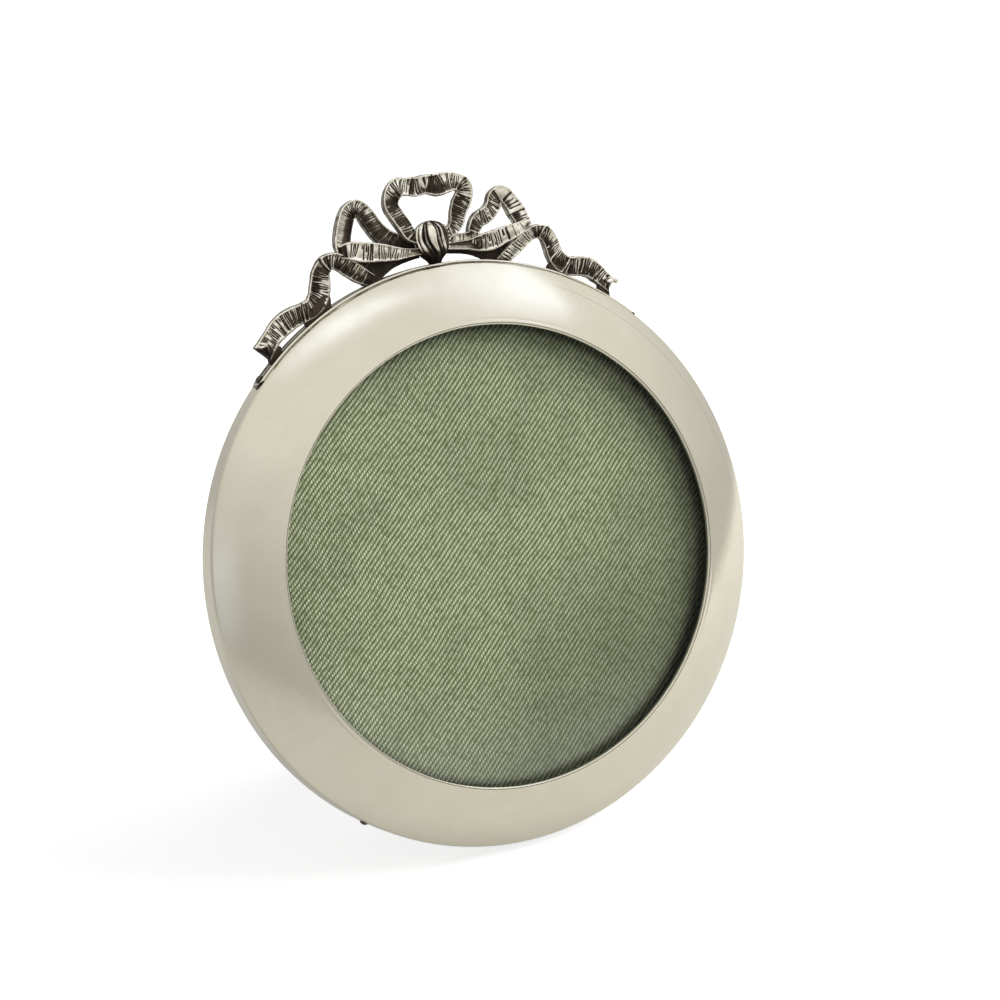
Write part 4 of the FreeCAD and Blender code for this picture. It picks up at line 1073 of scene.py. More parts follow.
@dataclass
class Stack:
    """Everything inside the ring, from the wooden ring to the door."""

    bore: float = 48.9
    radius: float = 50.8
    rebate: float = 51.2
    door_radius: float = 53.6
    door_rebate: float = 53.9
    flange: Pair = (10.35, 12.35)
    glass: Pair = (8.7, 10.3)
    silk: Pair = (8.3, 8.65)
    silk_back: float = 6.45
    card: Pair = (6.8, 8.3)
    packing: Pair = (3.45, 6.4)
    door: Pair = (0.0, 3.4)
    wood_gap: float = 0.25
    turn_in: float = 6.0
    rib_rise: float = 0.2
    rib_steps: int = 8
    rows: int = 84
    hem: int = 240
    hem_rows: int = 12
    fold: float = 0.3
    pleats: int = 24
    pleat: float = 0.1
    soft: float = 0.28
    rim_flat: float = 1.0

    def wood_ring(self, disc: Disc, ring: Ring) -> Thing:
        """Model the wooden ring that the glass and cards lie in."""
        outer = disc.radius - ring.gauge - self.wood_gap
        profile = softened([
            (outer, 0.0), (outer, ring.skirt - ring.gauge),
            (ring.sight + ring.gauge + self.wood_gap, self.flange[1]),
            (self.bore, self.flange[1]), (self.bore, self.flange[0]),
            (self.rebate, self.flange[0]), (self.rebate, self.packing[0]),
            (self.door_rebate, self.packing[0]), (self.door_rebate, 0.0)], self.soft)
        # The ring's front faces and bore are marked for black: painted shade in the gap between
        # the silver lip and the silk.
        front = [1.0 if height > 5 else 0.0 for _, height in profile]
        surface = Surface()
        lathe(surface, profile, 240, front, ripple=0.015, seed=2)
        return surface.build("wood_ring", disc.place)

    def disc(self, name: str, place: Matrix, radius: float, levels: Pair, edge: float,
             segments: int = 200) -> Thing:
        """Model a plain disc with softened edges."""
        low, high = levels
        rim = softened([(radius, low), (radius, high), (0.0, high), (0.0, low)], edge)
        inner = radius - self.rim_flat
        profile = [(inner, low)] + [spot for spot in rim if spot[0] > edge]
        profile += [(inner, high), (0.0, high), (0.0, low)]
        surface = Surface()
        lathe(surface, profile, segments)
        return surface.build(name, place)

    def cloth(self, disc: Disc) -> Thing:
        """Model the corded silk: ribs across the front, turned in behind the card."""
        ribs = int(self.radius * 2 / CORD_PITCH)
        flat = self.radius - 2 * self.fold
        columns = np.linspace(-flat, flat, ribs * self.rib_steps + 1)
        across, along = cut_disc(flat, columns, self.rows)
        cord = np.abs((across / CORD_PITCH % 1) - 0.5) * 2
        height = self.silk[1] - self.rib_rise * (1 - np.sqrt(np.clip(1 - cord ** 2, 0, 1)))
        for size, rate, start in CORD_WAVES:
            across = across + size * np.sin(along * rate + start)
        turn = math.radians(CORD_TURN)
        spots = np.stack([across * math.cos(turn) - along * math.sin(turn),
                          across * math.sin(turn) + along * math.cos(turn), height], -1)
        surface = Surface()
        surface.grid(spots[::-1], np.clip(cord, 0, 1)[::-1])
        bend = self.radius - self.fold
        edge = [(flat, self.silk[1] - 0.1)] + arc((bend, self.silk[0]), self.fold, 90, 0, 4)
        edge += [(self.radius, self.card[0])]
        edge += arc((bend, self.silk_back + self.fold), self.fold, 0, -90, 4)
        edge += [(r, self.silk_back)
                 for r in np.linspace(flat, self.radius - self.turn_in, self.hem_rows)]
        steps = np.linspace(0, 2 * math.pi, self.hem, endpoint=False)
        radii, heights = (np.array(values) for values in zip(*edge))
        pleat = np.zeros((self.hem, len(edge)))
        pleat[:, -self.hem_rows:] = self.pleat * np.abs(np.sin(steps * self.pleats))[:, None]
        hem = np.stack([radii * np.sin(steps)[:, None], radii * np.cos(steps)[:, None],
                        heights + pleat], -1)
        surface.grid(hem[:, ::-1], np.full(hem.shape[:2], 0.2), wrap_rows=True)
        return surface.build("silk_ribs", disc.place, 80, open_sheet=True)

    def build(self, disc: Disc, ring: Ring) -> dict[str, Thing]:
        """Model the stack, keyed by CAD node."""
        card = self.radius - 0.4
        made = {
            "back_ring": self.wood_ring(disc, ring),
            "glass": self.disc("glass_disc", disc.place, self.radius, self.glass, 0.15, 240),
            "mount_card": self.disc("silk_board", disc.place, card, self.card, 0.12),
            "silk_cover": self.cloth(disc),
            "packing_card": self.disc("packing_board", disc.place, self.radius, self.packing, 0.2),
            "back_door": self.disc("wood_door", disc.place, self.door_radius, self.door,
                                   self.soft),
        }
        for node, piece in made.items():
            seat(node, piece, Body.FRAME)
        return made


# Turn-buttons, hinge and strut


@dataclass
class Buttons:
    """Three brass turn-buttons and their round-headed screws."""

    spread: float = 130.0
    pivot: float = 57.525
    arm: float = 7.0
    tail: float = 2.6
    half: float = 2.0
    gauge: float = 0.8
    gap: float = 0.1
    head: float = 1.5
    rise: float = 0.8
    shank: float = 0.75
    fit: float = 0.05
    length: float = 5.0
    point: float = 0.8
    sink: float = 0.05
    edge: float = 0.18
    hole_edge: float = 0.1
    slot: Pair = (0.42, 0.4)
    slot_turns: tuple[float, ...] = (15.0, 70.0, -40.0)

    def reach(self, angle: float) -> float:
        """Distance from the pivot to the button's outline at an angle from its arm."""
        x, y = abs(math.sin(angle)), math.cos(angle)
        end = self.arm - self.half if y > 0 else self.tail - self.half
        side = self.half / x if x > 1e-9 else math.inf
        if side * abs(y) <= end:
            return side
        return abs(y) * end + math.sqrt((y * end) ** 2 - end ** 2 + self.half ** 2)

    def build(self, disc: Disc) -> dict[str, Thing]:
        """Model the buttons and screws, keyed by CAD node."""
        steps = np.radians(np.arange(0, 360, 4.0))
        reach = np.array([self.reach(a) for a in steps])
        hole = self.shank + self.fit
        outer = rounding(self.edge)
        rings = [(reach - inset, height) for inset, height in outer]
        rings += [(reach - inset, self.gauge - height) for inset, height in outer[::-1]]
        soft = self.hole_edge
        for radius, height in ((hole + soft, self.gauge), (hole, self.gauge - soft),
                               (hole, soft), (hole + soft, 0.0)):
            rings.append((np.full(len(steps), radius), height))
        shape = np.stack([np.stack([r * np.sin(steps), r * np.cos(steps),
                                    np.full(len(steps), z)], -1) for r, z in rings])
        made = {}
        screws = Surface()
        for name, angle, slot_turn in zip(("top", "right", "left"),
                                          (0.0, self.spread, -self.spread), self.slot_turns):
            spot = disc.turned(angle, self.pivot, -self.gap - self.gauge)
            surface = Surface()
            surface.grid(shape, wrap_rows=True, wrap_columns=True)
            piece = surface.build("turn_button_%s_brass" % name, spot, 40)
            seat("turn_button_" + name, piece, Body("button_" + name))
            made["turn_button_" + name] = piece
            local = disc.place.inverted() @ disc.turned(angle, self.pivot,
                                                        -2 * self.gap - self.gauge)
            local.translation /= MM
            down = Matrix.Rotation(math.pi, 4, "X") @ Matrix.Rotation(
                math.radians(slot_turn), 4, "Z")
            screws.at = local @ down
            slotted_head(screws, self.head, self.rise, 0.0, *self.slot)
            lathe(screws, [(0, self.sink), (self.shank, self.sink),
                           (self.shank, -self.length + self.point), (0, -self.length)],
                  20, [0.6] * 4)
        piece = screws.build("button_screws_slotted", disc.place, 40)
        seat("turn_button_screws", piece, Body.FRAME)
        made["turn_button_screws"] = piece
        return made


@dataclass
class Hinge:
    """Brass hinge and wooden strut, drawn with the axis along x and the door at +z."""

    open_angle: float = 35.0
    lean: float = 21.6
    offset: float = 1.6
    leaf: float = 0.8
    drop: float = 9.0
    half_width: float = 9.0
    knuckle: float = 1.35
    middle: float = 3.0
    gap: float = 0.12
    sweep: float = 1.75
    pin: float = 0.6
    fit: float = 0.05
    corner: float = 0.8
    edge: float = 0.12
    tab: Pair = (0.4, 0.75)
    tab_edge: float = 0.05
    knuckle_edge: float = 0.1
    pin_edge: float = 0.15
    screw_across: float = 5.6
    screw_drop: float = 5.4
    screw_head: float = 1.2
    screw_room: float = 0.03
    screw_high: float = 0.22
    screw_slot: Pair = (0.3, 0.16)
    screw_neck: Pair = (0.25, 0.36)
    screw_shank: float = 0.6
    screw_end: Pair = (1.7, 2.35)
    strut_gauge: float = 3.0
    strut_edge: float = 0.3
    top_half: float = 10.5
    foot_half: float = 18.0
    stop_gap: float = 0.1

    def frames(self, disc: Disc) -> tuple[Matrix, Matrix]:
        """Frames of the fixed leaf and of the open strut."""
        joint = next(j for j in frame["joints"] if j["name"] == "strut_hinge")
        fixed = disc.place.copy()
        fixed.translation = Vector(joint["pos_m"])
        return fixed, fixed @ Matrix.Rotation(math.radians(self.open_angle), 4, "X")

    def leaf_mesh(self, surface: Surface, side: float, own: list[Pair]) -> None:
        """Add one leaf: plate, tabs and knuckles.

        Args:
            surface: mesh to add to.
            side: 1 for the leaf on the door, -1 for the one on the strut.
            own: start and end of each of its knuckles along the axis.
        """
        near, far = self.offset - self.leaf, self.offset
        low, high = (near, far) if side > 0 else (-far, -near)
        wide = self.half_width
        clear = -self.sweep - self.fit
        outline = softened([(wide, clear), (-wide, clear), (-wide, -self.drop),
                            (wide, -self.drop)], self.corner, 5)
        slab(surface, outline, low, high, self.edge)
        bore = self.pin + self.fit
        for start, end in own:
            root, tip = clear - self.tab[0], -self.tab[1]
            slab(surface, [(end, root), (start, root), (start, tip), (end, tip)], low, high,
                 self.tab_edge)
            ring = softened([(self.knuckle, start), (self.knuckle, end), (bore, end),
                             (bore, start)], self.knuckle_edge)
            keep = surface.at.copy()
            surface.at = keep @ Matrix.Rotation(math.pi / 2, 4, "Y")
            lathe(surface, ring, 48)
            surface.at = keep

    def screws(self, name: str, place: Matrix, side: float) -> Thing:
        """Model a leaf's two countersunk screws."""
        surface = Surface()
        face = (self.offset - self.leaf) * side
        turn = Matrix.Rotation(math.pi if side > 0 else 0.0, 4, "X")
        sink = Matrix.Translation((0, 0, -self.screw_high))
        inset, neck = self.screw_neck
        body, end = self.screw_end
        for across, angle in ((-self.screw_across, 20), (self.screw_across, 70)):
            spin = Matrix.Rotation(math.radians(angle), 4, "Z")
            spot = Matrix.Translation((across, -self.screw_drop, face))
            surface.at = spot @ turn @ spin @ sink
            slotted_head(surface, self.screw_head - self.screw_room, 0.0, self.screw_high,
                         *self.screw_slot)
            lathe(surface, [(0, 0.0), (self.screw_head - inset, 0.0), (self.screw_shank, -neck),
                            (self.screw_shank, -body), (0, -end)], 20, [0.6] * 5)
        return surface.build(name, place, 40)

    def strut(self, place: Matrix, height: float) -> Thing:
        """Model the tapered wooden board.

        Args:
            place: the open strut's frame.
            height: the axis over the floor.

        Returns:
            The strut.
        """
        upright = math.radians(self.open_angle - self.lean)
        swing = math.radians(self.open_angle)
        faces = []
        outer_foot = 0.0
        for behind in (self.offset + self.strut_gauge, self.offset):
            foot = (height + behind * math.sin(upright)) / math.cos(upright)
            outer_foot = outer_foot or foot
            top = (self.offset - self.stop_gap + behind * math.cos(swing)) / math.sin(swing)
            half = self.top_half + (self.foot_half - self.top_half) * foot / outer_foot
            faces.append([Vector((half, -foot, -behind)), Vector((self.top_half, 0, -behind)),
                          Vector((self.top_half, top, -behind)),
                          Vector((-self.top_half, top, -behind)),
                          Vector((-self.top_half, 0, -behind)), Vector((-half, -foot, -behind))])
        surface = Surface()
        board(surface, *faces, self.strut_edge)
        return surface.build("strut_board", place, 40)

    def build(self, disc: Disc) -> dict[str, Thing]:
        """Model hinge, screws and strut, keyed by CAD node."""
        fixed, opened = self.frames(disc)
        height = fixed.translation.z / MM
        wide, inner = self.half_width, self.middle
        outer = inner + self.gap
        plate, leaf, pin = Surface(), Surface(), Surface()
        self.leaf_mesh(plate, 1, [(-wide, -outer), (outer, wide)])
        self.leaf_mesh(leaf, -1, [(-inner, inner)])
        pin.at = Matrix.Rotation(math.pi / 2, 4, "Y")
        lathe(pin, softened([(0.0, -wide), (self.pin, -wide), (self.pin, wide), (0.0, wide)],
                            self.pin_edge), 32)
        made = {
            "strut_hinge_plate": (plate.build("hinge_plate_brass", fixed, 40), Body.FRAME),
            "strut_hinge_leaf": (leaf.build("hinge_leaf_brass", opened, 40), Body.STRUT),
            "strut_hinge_pin": (pin.build("hinge_pin_steel", fixed, 40), Body.FRAME),
            "hinge_screws_door": (self.screws("door_leaf_screws", fixed, 1), Body.FRAME),
            "hinge_screws_strut": (self.screws("strut_leaf_screws", opened, -1), Body.STRUT),
            "easel_strut": (self.strut(opened, height), Body.STRUT),
        }
        for node, (piece, body) in made.items():
            seat(node, piece, body)
        return {node: piece for node, (piece, _) in made.items()}


# Node trees


def rgb(red: float, green: float, blue: float) -> Colour:
    """Opaque colour."""
    return (red, green, blue, 1.0)


WHITE = rgb(1.0, 1.0, 1.0)


class Graph:
    """Short-hand for wiring one node tree."""

    def __init__(self, tree: Tree) -> None:
        """Work on a tree."""
        self.tree = tree

    def node(self, kind: str, **settings: object) -> Node:
        """Add a node and set its properties."""
        made = self.tree.nodes.new(kind)
        for name, value in settings.items():
            setattr(made, name, value)
        return made

    def feed(self, socket: Socket, value: object) -> None:
        """Link a socket to another one, or set its value."""
        if isinstance(value, Socket):
            self.tree.links.new(value, socket)
        elif value is not None:
            socket.default_value = value

    def wire(self, node: Node, *values: object) -> Node:
        """Feed a node's inputs in their order."""
        for socket, value in zip(node.inputs, values):
            self.feed(socket, value)
        return node

    def fill(self, node: Node, **values: object) -> Node:
        """Feed a node's inputs, named with underscores for spaces."""
        for name, value in values.items():
            self.feed(node.inputs[name.replace("_", " ")], value)
        return node

    def math(self, operation: str, *values: object) -> Socket:
        """Work out one sum of up to three values."""
        return self.wire(self.node("ShaderNodeMath", operation=operation), *values).outputs[0]

    def vector(self, operation: str, *values: object) -> Node:
        """Work out one sum of vectors."""
        return self.wire(self.node("ShaderNodeVectorMath", operation=operation), *values)

    def scaled(self, vector: object, factors: tuple[float, float, float]) -> Socket:
        """Stretch a vector along its axes."""
        return self.vector("MULTIPLY", vector, factors).outputs["Vector"]

    def along(self, place: object, way: object) -> Socket:
        """Distance of a place along a direction."""
        return self.vector("DOT_PRODUCT", place, way).outputs["Value"]

    def length(self, vector: object) -> Socket:
        """Length of a vector."""
        return self.vector("LENGTH", vector).outputs["Value"]

    def parts(self, vector: object) -> tuple[Socket, ...]:
        """Split a vector into x, y and z."""
        return tuple(self.wire(self.node("ShaderNodeSeparateXYZ"), vector).outputs)

    def flat(self, across: object, along: object) -> Socket:
        """Join two values to a vector without height."""
        return self.wire(self.node("ShaderNodeCombineXYZ"), across, along).outputs[0]

    def noise(self, vector: object, scale: float, detail: float = 3.0, roughness: float = 0.55,
              distortion: float = 0.0) -> Socket:
        """Smooth random value about one half."""
        made = self.fill(self.node("ShaderNodeTexNoise"), Vector=vector, Scale=scale,
                         Detail=detail, Roughness=roughness, Distortion=distortion)
        return made.outputs["Fac"]

    def spread(self, value: object, low: float, high: float, start: float = 0.0,
               end: float = 1.0) -> Socket:
        """Carry a value smoothly from one range to another, clamped at both ends."""
        made = self.node("ShaderNodeMapRange", interpolation_type="SMOOTHSTEP")
        return self.wire(made, value, low, high, start, end).outputs[0]

    def seen(self) -> Socket:
        """1 for what the camera sees, straight or by way of metal or glass, and else 0."""
        path = self.node("ShaderNodeLightPath")
        rays = self.math("MAXIMUM", path.outputs["Is Camera Ray"], self.math(
            "MAXIMUM", path.outputs["Is Glossy Ray"], path.outputs["Is Transmission Ray"]))
        return self.math("MULTIPLY", rays, self.math(
            "LESS_THAN", path.outputs["Diffuse Depth"], 0.5))

    def mix(self, factor: object, first: object, second: object) -> Socket:
        """Blend two colours."""
        made = self.node("ShaderNodeMix", data_type="RGBA")
        self.feed(made.inputs["Factor"], factor)
        self.feed(made.inputs[6], first)
        self.feed(made.inputs[7], second)
        return made.outputs[2]

    def blend(self, factor: object, first: object, second: object) -> Socket:
        """Blend two values."""
        made = self.node("ShaderNodeMix", data_type="FLOAT")
        self.feed(made.inputs["Factor"], factor)
        self.feed(made.inputs[2], first)
        self.feed(made.inputs[3], second)
        return made.outputs[0]

    def bump(self, height: object, distance: float, strength: float = 1.0,
             normal: object = None) -> Socket:
        """Turn a height into a normal, with the height of 1 in metres as the distance."""
        made = self.fill(self.node("ShaderNodeBump"), Strength=strength, Distance=distance,
                         Height=height, Normal=normal)
        return made.outputs[0]

    def light(self, colour: Colour, strength: object) -> Socket:
        """Give off light."""
        made = self.fill(self.node("ShaderNodeEmission"), Color=colour, Strength=strength)
        return made.outputs[0]

    def clear(self, colour: Colour = WHITE) -> Socket:
        """Let light straight through."""
        return self.fill(self.node("ShaderNodeBsdfTransparent"), Color=colour).outputs[0]

    def both(self, first: object, second: object, share: object = None) -> Socket:
        """Add two shaders, or mix them by the second one's share."""
        if share is None:
            return self.wire(self.node("ShaderNodeAddShader"), first, second).outputs[0]
        return self.wire(self.node("ShaderNodeMixShader"), share, first, second).outputs[0]


# Shared effects


def effect(name: str, inputs: dict[str, tuple[str, object]],
           outputs: dict[str, str]) -> tuple[Graph, Node, Node]:
    """Start a shader node group.

    Args:
        name: name of the group.
        inputs: socket type and default of each input.
        outputs: socket type of each output.

    Returns:
        The group's graph, its input node and its output node.
    """
    tree = bpy.data.node_groups.new(name, "ShaderNodeTree")
    for title, (kind, value) in inputs.items():
        socket = tree.interface.new_socket(title, in_out="INPUT", socket_type=kind)
        if value is not None:
            socket.default_value = value
    for title, kind in outputs.items():
        tree.interface.new_socket(title, in_out="OUTPUT", socket_type=kind)
    graph = Graph(tree)
    return graph, graph.node("NodeGroupInput"), graph.node("NodeGroupOutput")


FLOAT, VECTOR = "NodeSocketFloat", "NodeSocketVector"


def make_wear() -> Tree:
    """Fine scratches, smears and dents on rubbed metal."""
    graph, given, out = effect(
        "rubbed_metal", {"Place": (VECTOR, None), "Fineness": (FLOAT, 1.0)},
        {"Smear": FLOAT, "Grain": FLOAT, "Scratch": FLOAT})
    fine = graph.fill(graph.vector("SCALE", given.outputs["Place"]),
                      Scale=given.outputs["Fineness"])
    place = fine.outputs["Vector"]
    smear = graph.noise(place, 90, 4, 0.6, 0.4)
    grain = graph.noise(place, 2600, 3, 0.7)
    lines = []
    for n, stretch in enumerate(((90.0, 2400.0, 900.0), (2200.0, 120.0, 800.0),
                                 (1500.0, 1500.0, 60.0))):
        shifted = graph.vector("ADD", graph.scaled(place, stretch), (7.1 * n, 3.3 * n, 1.7 * n))
        value = graph.noise(shifted.outputs["Vector"], 1.0, 2, 0.5, 0.6)
        lines.append(graph.spread(value, 0.66, 0.74))
    most = graph.math("MAXIMUM", graph.math("MAXIMUM", lines[0], lines[1]), lines[2])
    graph.fill(out, Smear=smear, Grain=grain, Scratch=most)
    return graph.tree


def make_patina() -> Tree:
    """Dark tarnish in the hollows, broken up by cloudy noise; on the ribbons the recess it reads
    also carries painted shade.
    """
    graph, given, out = effect(
        "patina", {"Place": (VECTOR, None), "Recess": (FLOAT, 0.0), "Amount": (FLOAT, 1.0)},
        {"Mask": FLOAT, "Warm": FLOAT, "Deep": FLOAT})
    cloud = graph.noise(given.outputs["Place"], 420, 5, 0.65, 0.5)
    fleck = graph.noise(given.outputs["Place"], 3200, 2, 0.6)
    spread = graph.math("MULTIPLY_ADD", cloud, 0.5, -0.25)
    level = graph.math("ADD", given.outputs["Recess"], spread)
    level = graph.math("ADD", level, graph.math("MULTIPLY_ADD", fleck, 0.24, -0.12))
    mask = graph.math("MULTIPLY", graph.spread(level, 0.18, 0.62), given.outputs["Amount"])
    graph.fill(out, Mask=mask, Deep=graph.spread(level, 0.7, 1.05),
               Warm=graph.spread(cloud, 0.35, 0.65))
    return graph.tree


def make_grain() -> Tree:
    """Straight wood grain with pores, running along y."""
    graph, given, out = effect(
        "wood_grain", {"Place": (VECTOR, None)},
        {"Ring": FLOAT, "Pore": FLOAT, "Figure": FLOAT, "Height": FLOAT})
    place = given.outputs["Place"]
    bend = graph.noise(graph.scaled(place, (20.0, 6.0, 20.0)), 1.0, 3, 0.5)
    x, y, z = graph.parts(place)
    across = graph.math("MULTIPLY_ADD", bend, 0.03, x)
    across = graph.math("MULTIPLY_ADD", z, 0.6, across)
    lane = graph.flat(graph.math("MULTIPLY", across, 420.0), graph.math("MULTIPLY", y, 14.0))
    streak = graph.noise(lane, 1.0, 4, 0.6)
    wave = graph.math("SINE", graph.math("MULTIPLY_ADD", across, 2 * math.pi / 0.0062,
                                         graph.math("MULTIPLY", streak, 7.0)))
    ring = graph.spread(graph.math("MULTIPLY_ADD", wave, 0.13, streak), 0.3, 0.72)
    fibre = graph.noise(graph.scaled(place, (5200.0, 130.0, 5200.0)), 1.0, 3, 0.6)
    pore = graph.spread(fibre, 0.60, 0.70)
    figure = graph.noise(graph.scaled(place, (60.0, 14.0, 60.0)), 1.0, 4, 0.6, 0.8)
    height = graph.math("SUBTRACT", graph.math("MULTIPLY", fibre, 0.4), pore)
    graph.fill(out, Ring=ring, Pore=pore, Figure=figure, Height=height)
    return graph.tree


def make_cords() -> Tree:
    """Twisted silk cords: strand marks, fibres, change of colour and the gaps between them."""
    turn = math.radians(CORD_TURN)
    graph, given, out = effect(
        "silk_cords", {"Place": (VECTOR, None), "Pitch": (FLOAT, CORD_PITCH * MM),
                       "Twist": (FLOAT, 0.00065)},
        {"Strand": FLOAT, "Fibre": FLOAT, "Tint": FLOAT, "Gap": FLOAT})
    place = given.outputs["Place"]
    across = graph.along(place, (math.cos(turn), math.sin(turn), 0.0))
    along = graph.along(place, (-math.sin(turn), math.cos(turn), 0.0))
    for size, rate, start in CORD_WAVES:
        wave = graph.math("SINE", graph.math("MULTIPLY_ADD", along, rate / MM, start))
        across = graph.math("MULTIPLY_ADD", wave, -size * MM, across)
    wander = graph.noise(place, 260, 2, 0.5)
    lane = graph.math("DIVIDE", across, given.outputs["Pitch"])
    phase = graph.math("SUBTRACT", graph.math("FRACT", lane), 0.5)
    off = graph.math("MULTIPLY", graph.math("ABSOLUTE", phase), 2.0)
    number = graph.math("FLOOR", lane)
    shift = graph.math("MULTIPLY", graph.math("SINE", graph.math("MULTIPLY", number, 12.9)), 0.5)
    beat = graph.math("DIVIDE", along, given.outputs["Twist"])
    beat = graph.math("ADD", graph.math("ADD", beat, shift),
                      graph.math("MULTIPLY_ADD", wander, 1.4, graph.math("MULTIPLY", phase, 0.9)))
    strand = graph.math("MULTIPLY_ADD", graph.math("SINE", graph.math(
        "MULTIPLY", beat, 2 * math.pi)), 0.5, 0.5)
    patch = graph.noise(place, 900, 3, 0.6)
    strand = graph.math("MULTIPLY", strand, graph.spread(patch, 0.3, 0.62, 0.45, 1.15))
    thread = graph.flat(graph.math("MULTIPLY", across, 9000.0),
                        graph.math("MULTIPLY", along, 1300.0))
    graph.fill(out, Strand=strand, Fibre=graph.noise(thread, 1.0, 3, 0.6, 0.3),
               Tint=graph.noise(place, 55, 3, 0.6), Gap=graph.spread(off, 0.45, 0.95))
    return graph.tree


@dataclass
class Effects:
    """The shared node groups."""

    wear: Tree = field(default_factory=make_wear)
    patina: Tree = field(default_factory=make_patina)
    grain: Tree = field(default_factory=make_grain)
    cords: Tree = field(default_factory=make_cords)


# Finishes


class Finish:
    """A material under way, with its principled shader."""

    def __init__(self, name: str) -> None:
        """Start a material with the coordinates of the piece's own frame at hand."""
        self.material = bpy.data.materials.new(name)
        self.material.use_nodes = True
        self.graph = Graph(self.material.node_tree)
        self.shader = self.material.node_tree.nodes["Principled BSDF"]
        self.output = self.material.node_tree.nodes["Material Output"]
        self.place, self.recess = (
            self.graph.node("ShaderNodeAttribute", attribute_name=name).outputs[output]
            for name, output in (("place", "Vector"), ("recess", "Fac")))

    def use(self, group: Tree, **values: object) -> bpy.types.NodeOutputs:
        """Add a shared effect, feed its inputs and give its outputs."""
        made = self.graph.fill(self.graph.node("ShaderNodeGroup", node_tree=group), **values)
        return made.outputs

    def set(self, **values: object) -> None:
        """Feed the shader's sockets, named with underscores for spaces."""
        self.graph.fill(self.shader, **values)

    def end(self, surface: Socket) -> Material:
        """Show this in place of the bare shader."""
        self.graph.feed(self.output.inputs["Surface"], surface)
        return self.material


@dataclass(frozen=True)
class SpunSilver:
    """Satin silver sheet with light handling marks."""

    bright: Colour = rgb(0.70, 0.662, 0.535)
    dull: Colour = rgb(0.672, 0.633, 0.503)
    dark: Colour = rgb(0.06, 0.046, 0.032)
    crease: float = 58.6
    crease_turn: float = 58.0
    crease_half: float = 0.13
    crease_reach: Pair = (46.0, 52.0)

    def make(self, effects: Effects) -> Material:
        """Build the material."""
        made = Finish("satin_silver")
        g = made.graph
        wear = made.use(effects.wear, Place=made.place, Fineness=1.0)
        patina = made.use(effects.patina, Place=made.place, Recess=made.recess, Amount=0.9)
        colour = g.mix(g.spread(wear["Smear"], 0.3, 0.7), self.bright, self.dull)
        flat = g.scaled(made.place, (1 / MM, 1 / MM, 0.0))
        wander = g.math("MULTIPLY_ADD", wear["Smear"], 0.9, self.crease - 0.45)
        gap = g.math("ABSOLUTE", g.math("SUBTRACT", g.length(flat), wander))
        turn = math.radians(self.crease_turn)
        near = g.spread(g.along(flat, (math.sin(turn), math.cos(turn), 0.0)), *self.crease_reach)
        crease = g.math("MULTIPLY", g.spread(gap, self.crease_half, 0.0), near)
        colour = g.mix(g.math("MAXIMUM", patina["Mask"], g.math(
            "MULTIPLY", crease, 0.3)), colour, self.dark)
        rough = g.spread(wear["Smear"], 0.3, 0.75, 0.13, 0.2)
        rough = g.math("ADD", rough, g.math("MULTIPLY", wear["Scratch"], 0.06))
        rough = g.blend(patina["Mask"], rough, 0.5)
        normal = g.bump(wear["Smear"], 0.00001, 0.6)
        normal = g.bump(wear["Grain"], 0.00002, 0.9, normal)
        normal = g.bump(wear["Scratch"], -0.000003, 0.6, normal)
        normal = g.bump(crease, -0.00001, 0.7, normal)
        metal = g.blend(patina["Mask"], 1.0, 0.4)
        made.set(Base_Color=colour, Metallic=metal, Roughness=rough, Normal=normal)
        return made.material


@dataclass(frozen=True)
class CastSilver:
    """Cast silver, bright on its edges and oxidised in its hollows, and dark also where the
    ribbons carry painted shade.
    """

    bright: Colour = rgb(0.95, 0.91, 0.80)
    dull: Colour = rgb(0.70, 0.645, 0.50)
    dark: Colour = rgb(0.060, 0.044, 0.029)
    black: Colour = rgb(0.013, 0.009, 0.006)

    def make(self, effects: Effects) -> Material:
        """Build the material."""
        made = Finish("oxidised_cast_silver")
        g = made.graph
        wear = made.use(effects.wear, Place=made.place, Fineness=2.0)
        patina = made.use(effects.patina, Place=made.place, Recess=made.recess, Amount=1.0)
        colour = g.mix(patina["Warm"], self.bright, self.dull)
        colour = g.mix(patina["Mask"], colour, self.dark)
        colour = g.mix(patina["Deep"], colour, self.black)
        rough = g.spread(wear["Smear"], 0.3, 0.7, 0.20, 0.34)
        rough = g.blend(patina["Mask"], rough, 0.6)
        normal = g.bump(wear["Smear"], 0.00008, 0.8)
        normal = g.bump(wear["Grain"], 0.00002, 0.8, normal)
        metal = g.blend(patina["Mask"], 1.0, 0.1)
        made.set(Base_Color=colour, Metallic=metal, Roughness=rough, Normal=normal,
                 Specular_IOR_Level=0.2)
        return made.material


